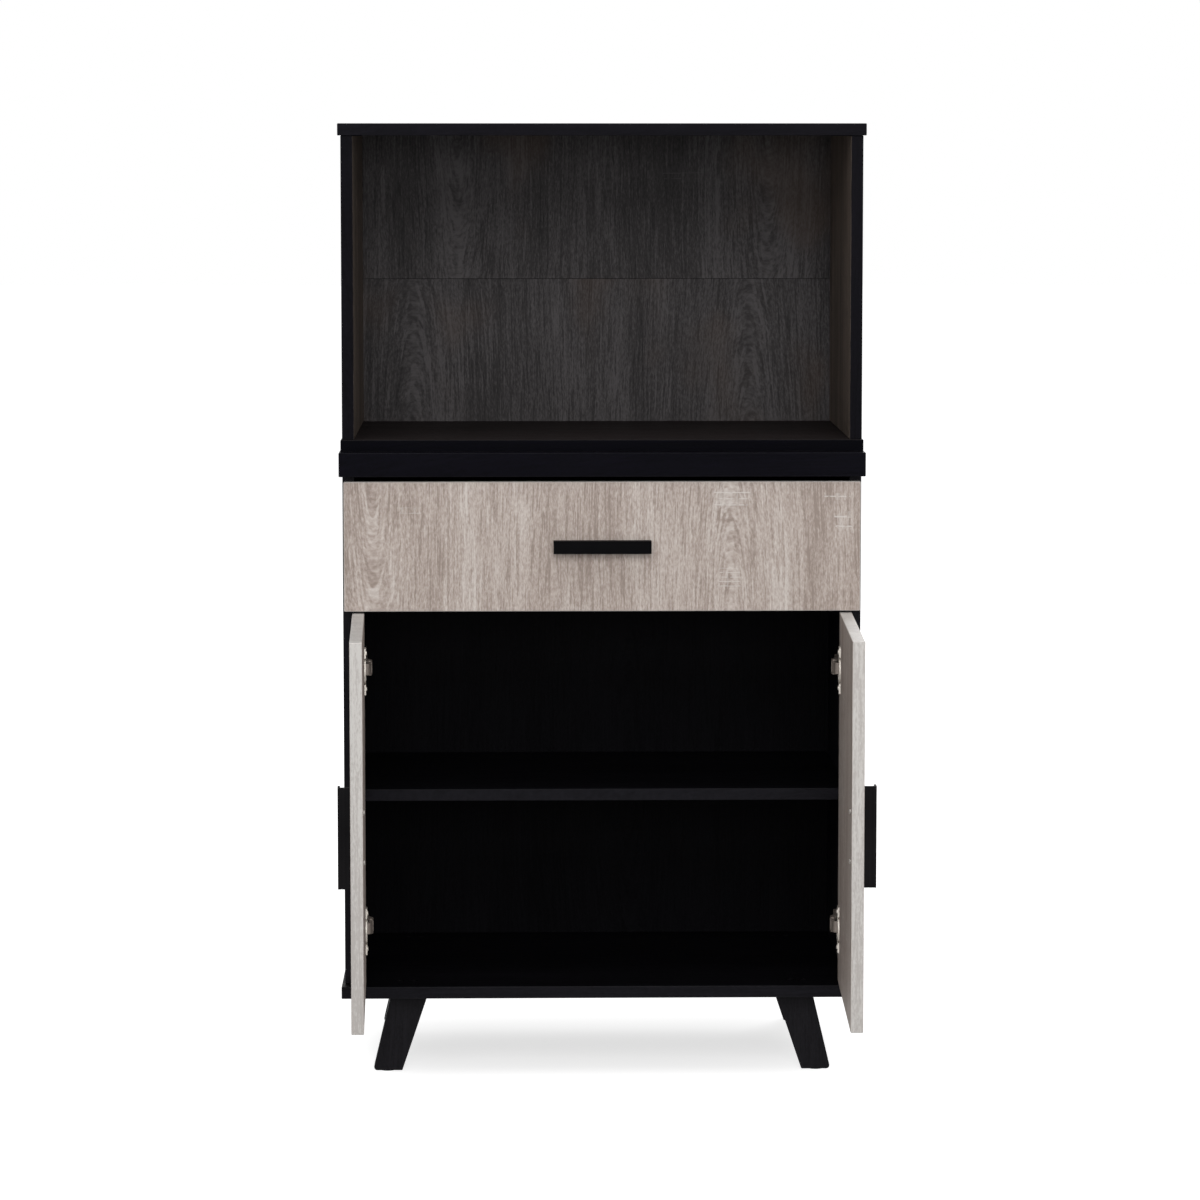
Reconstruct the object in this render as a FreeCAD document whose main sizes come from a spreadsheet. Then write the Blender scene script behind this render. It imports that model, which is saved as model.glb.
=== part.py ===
"""Kitchen microwave stand: an open hutch on a base cabinet with one drawer and two doors.

Millimetres, +Z up, front towards -Y.  The origin lies on the floor under the middle of the stand
as it stands at rest, with both doors swung open.
"""
import FreeCAD, Part
import math
import os
import re

import Sketcher
from FreeCAD import Placement, Rotation, Vector

# Driving sizes.  Depths are measured back from the front edges of the base side panels.
DRIVING = {
    # Boards
    "unit_width": 700,
    "board": 16,
    "side_overhang": 4,
    "carcass_depth": 380,
    "edge_ease": 0.8,
    # Counter and base board
    "counter_thickness": 32,
    "counter_lip": 25,
    "counter_gap": 7,
    # Doors and drawer front
    "door_height": 500,
    "door_floor_gap": 3,
    "front_thickness": 16,
    "front_standoff": 3,
    "front_reveal": 2,
    "fronts_gap": 3,
    "drawer_front_height": 173,
    "door_open_angle": 88.5,
    # Backs
    "back_thickness": 3,
    "back_inset": 6,
    "groove_depth": 6,
    "groove_clearance": 0.2,
    "back_seam": 0.6,
    "seam_tape_height": 24,
    "seam_tape_thickness": 0.4,
    # Hutch
    "hutch_setback": 17,
    "hutch_lip": 4,
    "hutch_clear_height": 403,
    "hutch_floor_overhang": 2,
    # Shelf and rail
    "shelf_rise": 245,
    "shelf_setback": 20,
    "shelf_clearance": 0.8,
    "shelf_pin_inset": 30,
    "shelf_pin_radius": 2.5,
    "shelf_pin_shank": 8,
    "shelf_pin_tab": 8,
    "shelf_pin_drop": 12,
    "shelf_pin_width": 10,
    "shelf_pin_sheet": 1.5,
    "rail_depth": 80,
    # Legs
    "leg_height": 105,
    "leg_thickness": 26,
    "leg_foot_width": 39.4,
    "leg_top_width": 49.8,
    "leg_lean": 24.6,
    "leg_foot_inset": 41,
    "leg_rear_inset": 4,
    "leg_setback": 30,
    "leg_ease": 1.5,
    "leg_foot_round": 4.5,
    "leg_screw_spread": 18,
    "leg_screw_shift": 4,
    "leg_screw_radius": 3,
    "leg_screw_bite": 30,
    "leg_screw_head_radius": 6,
    "leg_screw_head": 3,
    "leg_screw_sink": 3.3,
    "glide_radius": 11,
    "glide_thickness": 1.2,
    "glide_stem_radius": 2.5,
    "glide_stem": 12,
    # Handles
    "handle_length": 130,
    "handle_face": 17,
    "handle_projection": 16,
    "handle_wall": 3,
    "handle_flute": 0.6,
    "handle_flute_width": 1.4,
    "handle_screw_spacing": 64,
    "handle_post_radius": 4.5,
    "handle_edge_distance": 10,
    "handle_screw_radius": 2,
    "handle_screw_bite": 9,
    "handle_screw_head_radius": 4.5,
    "handle_screw_head": 2.4,
    # Concealed hinges
    "hinge_inset": 75,
    "arm_pin_inset": 18,
    "arm_pin_depth": 4.5,
    "cup_pin_from_edge": 12,
    "cup_pin_depth": 4.5,
    "link_turn": 35,
    "link_bow": 29.9,
    "link_straight": 14.8,
    "link_bend_radius": 5,
    "link_width": 15,
    "link_plate": 2.6,
    "link_knuckle": 3.2,
    "pin_radius": 1.5,
    "pin_running_fit": 0.05,
    "fastener_fit": 0.1,
    "cup_radius": 17.4,
    "cup_depth": 11.5,
    "cup_wall": 1,
    "cup_from_edge": 22.5,
    "cup_rim": 1.6,
    "flange_height": 62,
    "flange_thickness": 2,
    "wing_width": 16,
    "wing_shift": 6,
    "cup_screw_spacing": 48,
    "arm_width": 20,
    "arm_cheek": 2,
    "arm_web": 1.5,
    "arm_tip_radius": 4,
    "arm_slot": 8.5,
    "arm_neck": 11,
    "arm_shoulder": 26,
    "arm_length": 62,
    "arm_height": 14,
    "arm_skirt": 6,
    "boss_start": 28,
    "boss_end": 60,
    "boss_gap": 0.3,
    "plate_thickness": 3,
    "plate_height": 52,
    "plate_width": 14,
    "plate_centre": 45,
    "plate_screw_spacing": 32,
    "hinge_screw_radius": 1.75,
    "hinge_screw_length": 12,
    "hinge_screw_head_radius": 3.5,
    "hinge_screw_head": 2,
    "arm_screw_radius": 2,
    "arm_screw_length": 9,
    # Drawer box and runners
    "drawer_box_length": 350,
    "drawer_side_thickness": 12,
    "drawer_side_height": 110,
    "drawer_side_lift": 11.5,
    "drawer_bottom_rise": 8,
    "runner_space": 12.7,
    "runner_length": 340,
    "runner_setback": 4,
    "runner_height": 36,
    "runner_sheet": 1.2,
    "runner_play": 0.4,
}

# Sizes that follow from the driving ones.
DERIVED = {
    "carcass_width": "unit_width - 2 * side_overhang",
    "inner_width": "carcass_width - 2 * board",
    "base_top": "leg_height + board",
    "door_bottom": "base_top + door_floor_gap",
    "door_top": "door_bottom + door_height",
    "drawer_front_bottom": "door_top + fronts_gap",
    "counter_bottom": "drawer_front_bottom + drawer_front_height + counter_gap",
    "counter_upper": "counter_bottom + counter_thickness",
    "base_side_height": "counter_bottom - base_top",
    "counter_depth": "carcass_depth + counter_lip",
    "hutch_side_bottom": "counter_upper + board",
    "hutch_board_depth": "counter_depth - hutch_setback",
    "hutch_side_depth": "hutch_board_depth - hutch_lip",
    "hutch_floor_width": "carcass_width + 2 * hutch_floor_overhang",
    "door_width": "(carcass_width - 2 * front_reveal - fronts_gap) / 2",
    "drawer_front_width": "carcass_width - 2 * front_reveal",
    "back_width": "inner_width + 2 * (groove_depth - groove_clearance)",
    "groove_width": "back_thickness + 2 * groove_clearance",
    "groove_rear": "back_inset + groove_width",
    "inside_depth": "carcass_depth - groove_rear + groove_clearance",
    "hutch_half_height": "(hutch_clear_height - back_seam) / 2",
    "shelf_length": "inner_width - 2 * shelf_clearance",
    "shelf_depth": "inside_depth - shelf_setback - shelf_clearance",
    "shelf_pin_front": "shelf_setback + shelf_pin_inset",
    "shelf_pin_rear": "shelf_setback + shelf_depth - shelf_pin_inset",
    "shelf_pin_height": "shelf_rise - shelf_pin_drop / 2",
    "rail_bottom": "drawer_front_bottom",
    "leg_wood_height": "leg_height - glide_thickness",
    "leg_foot_out": "unit_width / 2 - leg_foot_inset",
    "leg_screw_middle": "leg_lean + leg_top_width / 2 - leg_screw_shift",
    "leg_front_depth": "leg_setback + leg_thickness / 2",
    "leg_rear_depth": "counter_depth - leg_front_depth",
    "handle_post_height": "handle_face - handle_wall / 2 - handle_post_radius",
    "hinge_low": "hinge_inset",
    "hinge_high": "door_height - hinge_inset",
    "link_closed_x": "front_reveal + cup_pin_from_edge - board - arm_pin_inset",
    "link_closed_y": "0 - front_standoff - cup_pin_depth - arm_pin_depth",
    "link_length": "sqrt(link_closed_x ^ 2 + link_closed_y ^ 2)",
    "link_pin_x": "link_length * cos(link_bow)",
    "link_pin_y": "0 - link_length * sin(link_bow)",
    "cup_bore_radius": "cup_radius + fastener_fit",
    "cup_inner_radius": "cup_radius - cup_wall",
    "cup_pin_offset": "cup_pin_from_edge - cup_from_edge",
    "cup_pin_reach": "sqrt(cup_radius ^ 2 - (cup_pin_offset - pin_radius) ^ 2) - fastener_fit",
    "boss_height": "arm_height - arm_web",
    "boss_width": "arm_width - 2 * arm_cheek - 2 * boss_gap",
    "drawer_box_width": "inner_width - 2 * runner_space",
    "drawer_inner_width": "drawer_box_width - 2 * drawer_side_thickness",
    "drawer_side_bottom": "rail_bottom + board + drawer_side_lift",
    "drawer_bottom_width": "drawer_inner_width + 2 * (groove_depth - groove_clearance)",
    "drawer_back_rise": "drawer_bottom_rise + groove_clearance + back_thickness",
    "drawer_back_height": "drawer_side_height - drawer_back_rise",
    "runner_middle_start": "runner_sheet + runner_play",
    "runner_inner_start": "2 * runner_middle_start",
    "runner_lip_end": "runner_space - runner_middle_start",
    "runner_bottom": "drawer_side_bottom + drawer_side_height / 2 - runner_height / 2",
}

doc = FreeCAD.newDocument("microwave_stand")
sheet = doc.addObject("Spreadsheet::Sheet", "Sizes")
parts = []


def fill_sheet():
    """Write the driving sizes as plain numbers and the derived ones as formulas."""
    cells = [(name, str(value)) for name, value in DRIVING.items()]
    cells += [(name, "=" + formula) for name, formula in DERIVED.items()]
    for row, (name, content) in enumerate(cells, start=1):
        sheet.set("A%d" % row, name)
        sheet.set("B%d" % row, content)
        sheet.setAlias("B%d" % row, name)
    doc.recompute()


def size(name):
    """The value of one size in the sheet."""
    return float(sheet.get(name))


def bind(feature, prop, formula):
    """Tie a property to a formula of sizes in the sheet."""
    named = re.sub(r"[a-z]\w*", lambda word: "Sizes." + word.group(), str(formula))
    feature.setExpression(prop, named)


# Sketches and features


def new_body(label):
    """An empty body with its label."""
    body = doc.addObject("PartDesign::Body", label)
    body.Label = label
    return body


def new_sketch(body, role, offset=None):
    """A sketch on one of the body's own origin planes, moved along the plane's normal by offset."""
    sketch = body.newObject("Sketcher::SketchObject", body.Label + "_sketch")
    plane = [feature for feature in body.Origin.OriginFeatures if feature.Role == role][0]
    sketch.AttachmentSupport = [(plane, "")]
    sketch.MapMode = "FlatFace"
    if offset is not None:
        bind(sketch, "AttachmentOffset.Base.z", offset)
    return sketch


def place_point(sketch, geometry, position, corner):
    """Hold a point of the sketch at a pair of formulas."""
    for kind, formula in zip(("DistanceX", "DistanceY"), corner):
        index = sketch.addConstraint(Sketcher.Constraint(kind, -1, 1, geometry, position, 1.0))
        bind(sketch, "Constraints[%d]" % index, formula)


def outline(body, role, corners, offset=None):
    """A closed outline through corners, each a pair of formulas."""
    sketch = new_sketch(body, role, offset)
    count = len(corners)
    turn = 2 * math.pi / count
    ring = [Vector(math.cos(turn * i), math.sin(turn * i), 0) for i in range(count)]
    for i in range(count):
        sketch.addGeometry(Part.LineSegment(ring[i], ring[(i + 1) % count]), False)
    for i in range(count):
        sketch.addConstraint(Sketcher.Constraint("Coincident", i, 2, (i + 1) % count, 1))
    for i, corner in enumerate(corners):
        place_point(sketch, i, 1, corner)
    return sketch


def rectangle(body, role, low, high, offset=None):
    """A rectangle between two corners, each a pair of formulas."""
    corners = [low, (high[0], low[1]), high, (low[0], high[1])]
    return outline(body, role, corners, offset)


def circles(body, role, centres, radius, offset=None):
    """Equal circles about centres, each a pair of formulas."""
    sketch = new_sketch(body, role, offset)
    for i, centre in enumerate(centres):
        sketch.addGeometry(Part.Circle(Vector(10 * i, 10 * i, 0), Vector(0, 0, 1), 1.0), False)
        place_point(sketch, i, 3, centre)
        index = sketch.addConstraint(Sketcher.Constraint("Radius", i, 1.0))
        bind(sketch, "Constraints[%d]" % index, radius)
    return sketch


def extrude(body, kind, sketch, length, symmetric=False, flip=False):
    """Pad or pocket a sketch by a formula."""
    feature = body.newObject("PartDesign::" + kind, body.Label + "_" + kind.lower())
    feature.Profile = sketch
    feature.Reversed = flip
    if symmetric:
        feature.SideType = "Symmetric"
    bind(feature, "Length", length)
    doc.recompute()
    return feature


def pad(body, sketch, length, symmetric=False, flip=False):
    """Add the sketch's area, by default along its plane's normal."""
    return extrude(body, "Pad", sketch, length, symmetric, flip)


def pocket(body, sketch, length, symmetric=False, flip=False):
    """Cut the sketch's area, by default against its plane's normal, and make sure that it cuts."""
    before = body.Shape.Volume
    feature = extrude(body, "Pocket", sketch, length, symmetric, flip)
    if not feature.Shape.Volume < before - 1e-6:
        raise RuntimeError("a pocket of %s cuts nothing" % body.Label)
    return feature


def revolve(body, corners):
    """Turn a half section, pairs of radius and height formulas, once round the body's Z axis."""
    sketch = outline(body, "XZ_Plane", corners)
    feature = body.newObject("PartDesign::Revolution", body.Label + "_revolution")
    feature.Profile = sketch
    feature.ReferenceAxis = (sketch, ["V_Axis"])
    feature.Angle = 360
    doc.recompute()
    return feature


def ease_edges(body, feature, amount, wanted=None, rounded=False):
    """Chamfer or round a feature's edges, all of them or those that a test picks."""
    names = []
    for i, edge in enumerate(feature.Shape.Edges, start=1):
        if wanted is None or wanted(edge):
            names.append("Edge%d" % i)
    kind, measure = ("Fillet", "Radius") if rounded else ("Chamfer", "Size")
    ease = body.newObject("PartDesign::" + kind, body.Label + "_" + kind.lower())
    ease.Base = (feature, names)
    bind(ease, measure, amount)
    doc.recompute()
    return ease


def keep(piece, placement):
    """Set a finished piece in its place and list it among the stand's parts."""
    piece.Placement = placement
    parts.append(piece)
    return piece


def group(label, master, placements):
    """Identical pieces that share one node: linked copies of a master piece."""
    copies = []
    for number, placement in enumerate(placements, start=1):
        copy = doc.addObject("App::Link", "%s_%d" % (label, number))
        copy.LinkedObject = master
        copy.Placement = placement
        copies.append(copy)
    compound = doc.addObject("Part::Compound", label)
    compound.Label = label
    compound.Links = copies
    parts.append(compound)
    return compound


# Places


def hinge_pose(opened, front):
    """Placements of the left link and the left door with the door opened by an angle in degrees."""
    pivot = Vector(size("arm_pin_inset") - size("inner_width") / 2, front + size("arm_pin_depth"), 0)
    closed = math.degrees(math.atan2(size("link_closed_y"), size("link_closed_x")))
    aim = closed + size("link_turn") * opened / 90
    reach = Rotation(Vector(0, 0, 1), aim).multVec(Vector(size("link_length"), 0, 0))
    link = Placement(pivot, Rotation(Vector(0, 0, 1), aim + size("link_bow")))
    swing = Rotation(Vector(0, 0, 1), -opened)
    cup_pin = Vector(size("cup_pin_from_edge"), -size("cup_pin_depth"), 0)
    corner = pivot + reach - swing.multVec(cup_pin)
    door = Placement(corner + Vector(0, 0, size("door_bottom")), swing)
    return link, door


def front_edge():
    """Y of the carcass front edges that puts the origin under the middle of the stand at rest."""
    door = hinge_pose(size("door_open_angle"), 0)[1]
    free_corner = door.multVec(Vector(size("door_width"), size("edge_ease") - size("front_thickness"), 0))
    return (-free_corner.y - size("carcass_depth")) / 2


def spot(x, depth, z, rotation=None):
    """A placement at a depth behind the carcass front edges."""
    return Placement(Vector(x, front_y + depth, z), rotation or Rotation())


def mirrored(placement):
    """The place on the right-hand side of a piece that is alike above and below the doors' middle."""
    middle = size("door_bottom") + size("door_height") / 2
    half_turn = Placement(Vector(0, 0, 2 * middle), Rotation(Vector(0, 1, 0), 180))
    return half_turn.multiply(placement)


def both_sides(side, placement):
    """A left-hand placement, or its mirror on the right."""
    return placement if side == "left" else mirrored(placement)


# Boards


def lying_board(label, length, depth, thickness, start, z):
    """A board that lies flat, centred across the stand, with eased edges."""
    body = new_body(label)
    sheet_area = rectangle(body, "XY_Plane", ("0", "0"), (length, depth))
    ease_edges(body, pad(body, sheet_area, thickness), "edge_ease")
    return body, spot(-body.Shape.BoundBox.XLength / 2, start, z)


def base_board():
    """The bottom of the base cabinet, drilled and counterbored for the leg screws."""
    body, place = lying_board("base_board", "unit_width", "counter_depth", "board",
                              -size("counter_lip"), size("leg_height"))
    middle = "unit_width / 2 - leg_foot_out + leg_screw_middle"
    holes = []
    for depth, inset in (("leg_front_depth", "0"), ("leg_rear_depth", "leg_rear_inset")):
        for sign in ("-", "+"):
            across = "(%s + %s %s leg_screw_spread / 2)" % (middle, inset, sign)
            holes += [(across, depth), ("unit_width - " + across, depth)]
    drill = circles(body, "XY_Plane", holes, "leg_screw_radius + fastener_fit")
    pocket(body, drill, "board", flip=True)
    sink = circles(body, "XY_Plane", holes, "leg_screw_head_radius + fastener_fit", "board")
    pocket(body, sink, "leg_screw_sink")
    keep(body, place)


def plain_boards():
    """Counter, hutch floor, hutch top, shelf and the rail under the drawer."""
    lip = -size("counter_lip")
    hutch_front = lip + size("hutch_setback")
    hutch_top_bottom = size("hutch_side_bottom") + size("hutch_clear_height")
    rows = [
        ("counter", "unit_width", "counter_depth", "counter_thickness", lip, size("counter_bottom")),
        ("hutch_floor", "hutch_floor_width", "hutch_board_depth", "board", hutch_front,
         size("counter_upper")),
        ("hutch_top", "unit_width", "hutch_board_depth", "board", hutch_front, hutch_top_bottom),
        ("shelf", "shelf_length", "shelf_depth", "board", size("shelf_setback"),
         size("base_top") + size("shelf_rise")),
        ("drawer_rail", "inner_width", "rail_depth", "board", 0, size("rail_bottom")),
    ]
    for row in rows:
        keep(*lying_board(*row))


def side_panel(label, side, depth, height):
    """A standing side with the groove for the back; its inner face lies on the body's YZ plane."""
    body = new_body(label)
    face = rectangle(body, "YZ_Plane", ("0", "0"), (depth, height))
    panel = pad(body, face, "board", flip=side == "left")
    ease_edges(body, panel, "edge_ease")
    groove = rectangle(body, "YZ_Plane", (depth + " - groove_rear", "0"), (depth + " - back_inset", height))
    pocket(body, groove, "groove_depth", flip=side == "right")
    return body


def side_x(side):
    """X of a side panel's inner face."""
    return size("inner_width") / 2 * (-1 if side == "left" else 1)


def sides():
    """The base sides, drilled for shelf pins and hinge plates, and the hutch sides."""
    for side in ("left", "right"):
        body = side_panel("base_side_" + side, side, "carcass_depth", "base_side_height")
        pins = [(depth, "shelf_pin_height") for depth in ("shelf_pin_front", "shelf_pin_rear")]
        drill = circles(body, "YZ_Plane", pins, "shelf_pin_radius + fastener_fit")
        pocket(body, drill, "shelf_pin_shank + fastener_fit", flip=side == "right")
        screws = []
        for hinge in ("hinge_low", "hinge_high"):
            for sign in ("-", "+"):
                height = "door_floor_gap + %s %s plate_screw_spacing / 2" % (hinge, sign)
                screws.append(("plate_centre", height))
        drill = circles(body, "YZ_Plane", screws, "hinge_screw_radius + fastener_fit")
        pocket(body, drill, "hinge_screw_length", flip=side == "right")
        keep(body, spot(side_x(side), 0, size("base_top")))
        body = side_panel("hutch_side_" + side, side, "hutch_side_depth", "hutch_clear_height")
        front = size("carcass_depth") - size("hutch_side_depth")
        keep(body, spot(side_x(side), front, size("hutch_side_bottom")))


def back_panel(label, height, z):
    """A thin back that stands in the grooves of the sides."""
    body = new_body(label)
    face = rectangle(body, "XZ_Plane", ("0 - back_width / 2", "0"), ("back_width / 2", height))
    pad(body, face, "back_thickness", flip=True)
    keep(body, spot(0, size("inside_depth"), z))


def backs():
    """One back on the base, two halves with a taped seam on the hutch."""
    back_panel("base_back", "base_side_height", size("base_top"))
    low = size("hutch_side_bottom")
    back_panel("hutch_back_lower", "hutch_half_height", low)
    high = low + size("hutch_half_height") + size("back_seam")
    back_panel("hutch_back_upper", "hutch_half_height", high)
    tape = new_body("hutch_back_tape")
    strip = rectangle(tape, "XZ_Plane", ("0 - inner_width / 2", "0"), ("inner_width / 2", "seam_tape_height"))
    pad(tape, strip, "seam_tape_thickness", flip=True)
    seam = high - size("back_seam") / 2
    keep(tape, spot(0, size("inside_depth") + size("back_thickness"), seam - size("seam_tape_height") / 2))


def shelf_pins():
    """Pegs with a folded tab: the shank sits in the side, the shelf lies on the tab."""
    body = new_body("shelf_pin_master")
    fold = [("0", "0"), ("shelf_pin_tab", "0"), ("shelf_pin_tab", "0 - shelf_pin_sheet"),
            ("shelf_pin_sheet", "0 - shelf_pin_sheet"), ("shelf_pin_sheet", "0 - shelf_pin_drop"),
            ("0", "0 - shelf_pin_drop")]
    pad(body, outline(body, "XZ_Plane", fold), "shelf_pin_width", symmetric=True)
    shank = circles(body, "YZ_Plane", [("0", "0 - shelf_pin_drop / 2")], "shelf_pin_radius")
    pad(body, shank, "shelf_pin_shank", flip=True)
    z = size("base_top") + size("shelf_rise")
    places = []
    for depth in (size("shelf_pin_front"), size("shelf_pin_rear")):
        places.append(spot(side_x("left"), depth, z))
        places.append(spot(side_x("right"), depth, z, Rotation(Vector(0, 0, 1), 180)))
    group("shelf_pins", body, places)


# Legs


def screw_master(label, radius, length, head_radius, head):
    """A screw along Z: the head stands on the XY plane and the shank goes down."""
    body = new_body(label)
    down = "0 - (%s)" % length
    section = [("0", down), (radius, down), (radius, "0"), (head_radius, "0"),
               ("(%s) * 0.7" % head_radius, head), ("0", head)]
    revolve(body, section)
    return body


def leg_spots():
    """Name, side sign, distance of the outer foot corner from the middle, and depth of each leg."""
    rows = (("front", size("leg_front_depth"), 0), ("rear", size("leg_rear_depth"), size("leg_rear_inset")))
    spots = []
    for row, depth, inset in rows:
        for side, sign in (("left", -1), ("right", 1)):
            label = "leg_%s_%s" % (row, side)
            spots.append((label, sign, size("leg_foot_out") - inset, depth - size("counter_lip")))
    return spots


def upright_edge(edge):
    """Whether an edge of a leg runs from its foot to its top."""
    return edge.BoundBox.ZLength > size("leg_height") / 2


def outer_foot_edge(edge):
    """Whether an edge of a leg is the one along the outside of its foot."""
    return edge.BoundBox.ZMax < size("leg_ease") / 10 and edge.BoundBox.XMax < size("leg_ease") / 10


def legs():
    """Four tapered legs that splay outwards, their screws from above and the glides below."""
    facing = {-1: Rotation(), 1: Rotation(Vector(0, 0, 1), 180)}
    for label, sign, out, depth in leg_spots():
        body = new_body(label)
        plank = [("0", "0"), ("leg_foot_width", "0"),
                 ("leg_lean + leg_top_width", "leg_wood_height"), ("leg_lean", "leg_wood_height")]
        blank = pad(body, outline(body, "XZ_Plane", plank), "leg_thickness", symmetric=True)
        eased = ease_edges(body, blank, "leg_ease", upright_edge)
        ease_edges(body, eased, "leg_foot_round", outer_foot_edge, rounded=True)
        middles = [("leg_screw_middle %s leg_screw_spread / 2" % sign_text, "0") for sign_text in "-+"]
        pilot = circles(body, "XY_Plane", middles, "leg_screw_radius + fastener_fit", "leg_wood_height")
        pocket(body, pilot, "leg_screw_bite + fastener_fit")
        stem = circles(body, "XY_Plane", [("leg_foot_width / 2", "0")], "glide_stem_radius + fastener_fit")
        pocket(body, stem, "glide_stem + fastener_fit", flip=True)
        keep(body, spot(sign * out, depth, size("glide_thickness"), facing[sign]))
    screw = screw_master("leg_screw_master", "leg_screw_radius", "leg_screw_bite + board - leg_screw_sink",
                         "leg_screw_head_radius", "leg_screw_head")
    glide = new_body("glide_master")
    section = [("0", "0"), ("glide_radius", "0"), ("glide_radius", "glide_thickness"),
               ("glide_stem_radius", "glide_thickness"),
               ("glide_stem_radius", "glide_thickness + glide_stem"), ("0", "glide_thickness + glide_stem")]
    revolve(glide, section)
    screw_places, glide_places = [], []
    head_seat = size("base_top") - size("leg_screw_sink")
    for label, sign, out, depth in leg_spots():
        for step in (-0.5, 0.5):
            inward = size("leg_screw_middle") + step * size("leg_screw_spread")
            screw_places.append(spot(sign * (out - inward), depth, head_seat))
        glide_places.append(spot(sign * (out - size("leg_foot_width") / 2), depth, 0))
    group("leg_screws", screw, screw_places)
    group("leg_glides", glide, glide_places)


# Handles


def handle_body(label):
    """An angle pull along X: a fluted top web from the panel to the front lip, open below, on two posts."""
    body = new_body(label)
    profile = [("0", "handle_face - handle_wall"), ("0", "handle_face")]
    for share in ("handle_projection / 3", "handle_projection * 2 / 3"):
        near = "0 - (%s)" % share
        far = near + " - handle_flute_width"
        profile += [(near, "handle_face"), (near, "handle_face - handle_flute"),
                    (far, "handle_face - handle_flute"), (far, "handle_face")]
    lip_back = "handle_wall - handle_projection"
    profile += [("0 - handle_projection", "handle_face"), ("0 - handle_projection", "0"),
                (lip_back, "0"), (lip_back, "handle_face - handle_wall")]
    pad(body, outline(body, "YZ_Plane", profile), "handle_length", symmetric=True)
    posts = [("0 - handle_screw_spacing / 2", "handle_post_height"),
             ("handle_screw_spacing / 2", "handle_post_height")]
    pad(body, circles(body, "XZ_Plane", posts, "handle_post_radius"), "handle_projection - handle_wall")
    pilot = circles(body, "XZ_Plane", posts, "handle_screw_radius + fastener_fit")
    pocket(body, pilot, "handle_screw_bite + fastener_fit", flip=True)
    return body


def handle_screw_places(handle):
    """Screws that come through a front of the stand into a handle's posts."""
    through = Rotation(Vector(1, 0, 0), -90)
    places = []
    for sign in (-1, 1):
        mouth = Vector(sign * size("handle_screw_spacing") / 2, size("front_thickness"),
                       size("handle_post_height"))
        places.append(handle.multiply(Placement(mouth, through)))
    return places


# Concealed hinges


def hinge_cup_master():
    """A cup pressed from sheet, with two screw wings and the holes for its pin; Y=0 is the door's back."""
    body = new_body("hinge_cup_master")
    floor = "cup_wall - cup_depth"
    section = [("0", "0 - cup_depth"), ("cup_radius", "0 - cup_depth"), ("cup_radius", "0"),
               ("cup_radius + cup_rim", "0"), ("cup_radius + cup_rim", "flange_thickness"),
               ("cup_inner_radius", "flange_thickness"), ("cup_inner_radius", floor), ("0", floor)]
    revolve(body, section)
    low, high = "wing_shift - wing_width / 2", "wing_shift + wing_width / 2"
    for sign in ("", "0 - "):
        near, far = sign + "cup_radius", sign + "flange_height / 2"
        wing = rectangle(body, "XY_Plane", (low, near), (high, far))
        pad(body, wing, "flange_thickness")
    screws = [("wing_shift", "0 - cup_screw_spacing / 2"), ("wing_shift", "cup_screw_spacing / 2")]
    drill = circles(body, "XY_Plane", screws, "hinge_screw_radius + fastener_fit")
    pocket(body, drill, "flange_thickness", flip=True)
    pin = circles(body, "XZ_Plane", [("cup_pin_offset", "0 - cup_pin_depth")], "pin_radius + pin_running_fit")
    pocket(body, pin, "2 * cup_radius", symmetric=True)
    return body


def hinge_link_master():
    """A bent link: pin A at the origin, a straight shank along X, a bend, and pin C in the cup."""
    body = new_body("hinge_link_master")
    path = new_sketch(body, "XY_Plane")
    straight, radius = size("link_straight"), size("link_bend_radius")
    far_pin = Vector(size("link_pin_x"), size("link_pin_y"), 0)
    bend_end = Vector(straight + radius, -radius, 0)
    bend = Part.Circle(Vector(straight, -radius, 0), Vector(0, 0, 1), radius)
    path.addGeometry(Part.LineSegment(Vector(0, 0, 0), Vector(straight, 0, 0)), False)
    path.addGeometry(Part.ArcOfCircle(bend, 0, math.pi / 2), False)
    path.addGeometry(Part.LineSegment(bend_end, far_pin), False)
    path.addConstraint(Sketcher.Constraint("Coincident", 0, 1, -1, 1))
    path.addConstraint(Sketcher.Constraint("Horizontal", 0))
    path.addConstraint(Sketcher.Constraint("Tangent", 0, 2, 1, 2))
    path.addConstraint(Sketcher.Constraint("Tangent", 1, 1, 2, 1))
    index = path.addConstraint(Sketcher.Constraint("DistanceX", -1, 1, 0, 2, straight))
    bind(path, "Constraints[%d]" % index, "link_straight")
    index = path.addConstraint(Sketcher.Constraint("Radius", 1, radius))
    bind(path, "Constraints[%d]" % index, "link_bend_radius")
    place_point(path, 2, 2, ("link_pin_x", "link_pin_y"))
    strip = rectangle(body, "YZ_Plane", ("0 - link_plate / 2", "0 - link_width / 2"),
                      ("link_plate / 2", "link_width / 2"))
    doc.recompute()
    pipe = body.newObject("PartDesign::AdditivePipe", "hinge_link_pipe")
    pipe.Profile = strip
    pipe.Spine = (path, ["Edge1", "Edge2", "Edge3"])
    doc.recompute()
    pins = [("0", "0"), ("link_pin_x", "link_pin_y")]
    pad(body, circles(body, "XY_Plane", pins, "link_knuckle"), "link_width", symmetric=True)
    bores = circles(body, "XY_Plane", pins, "pin_radius + pin_running_fit")
    pocket(body, bores, "2 * link_width", symmetric=True)
    return body


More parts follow.
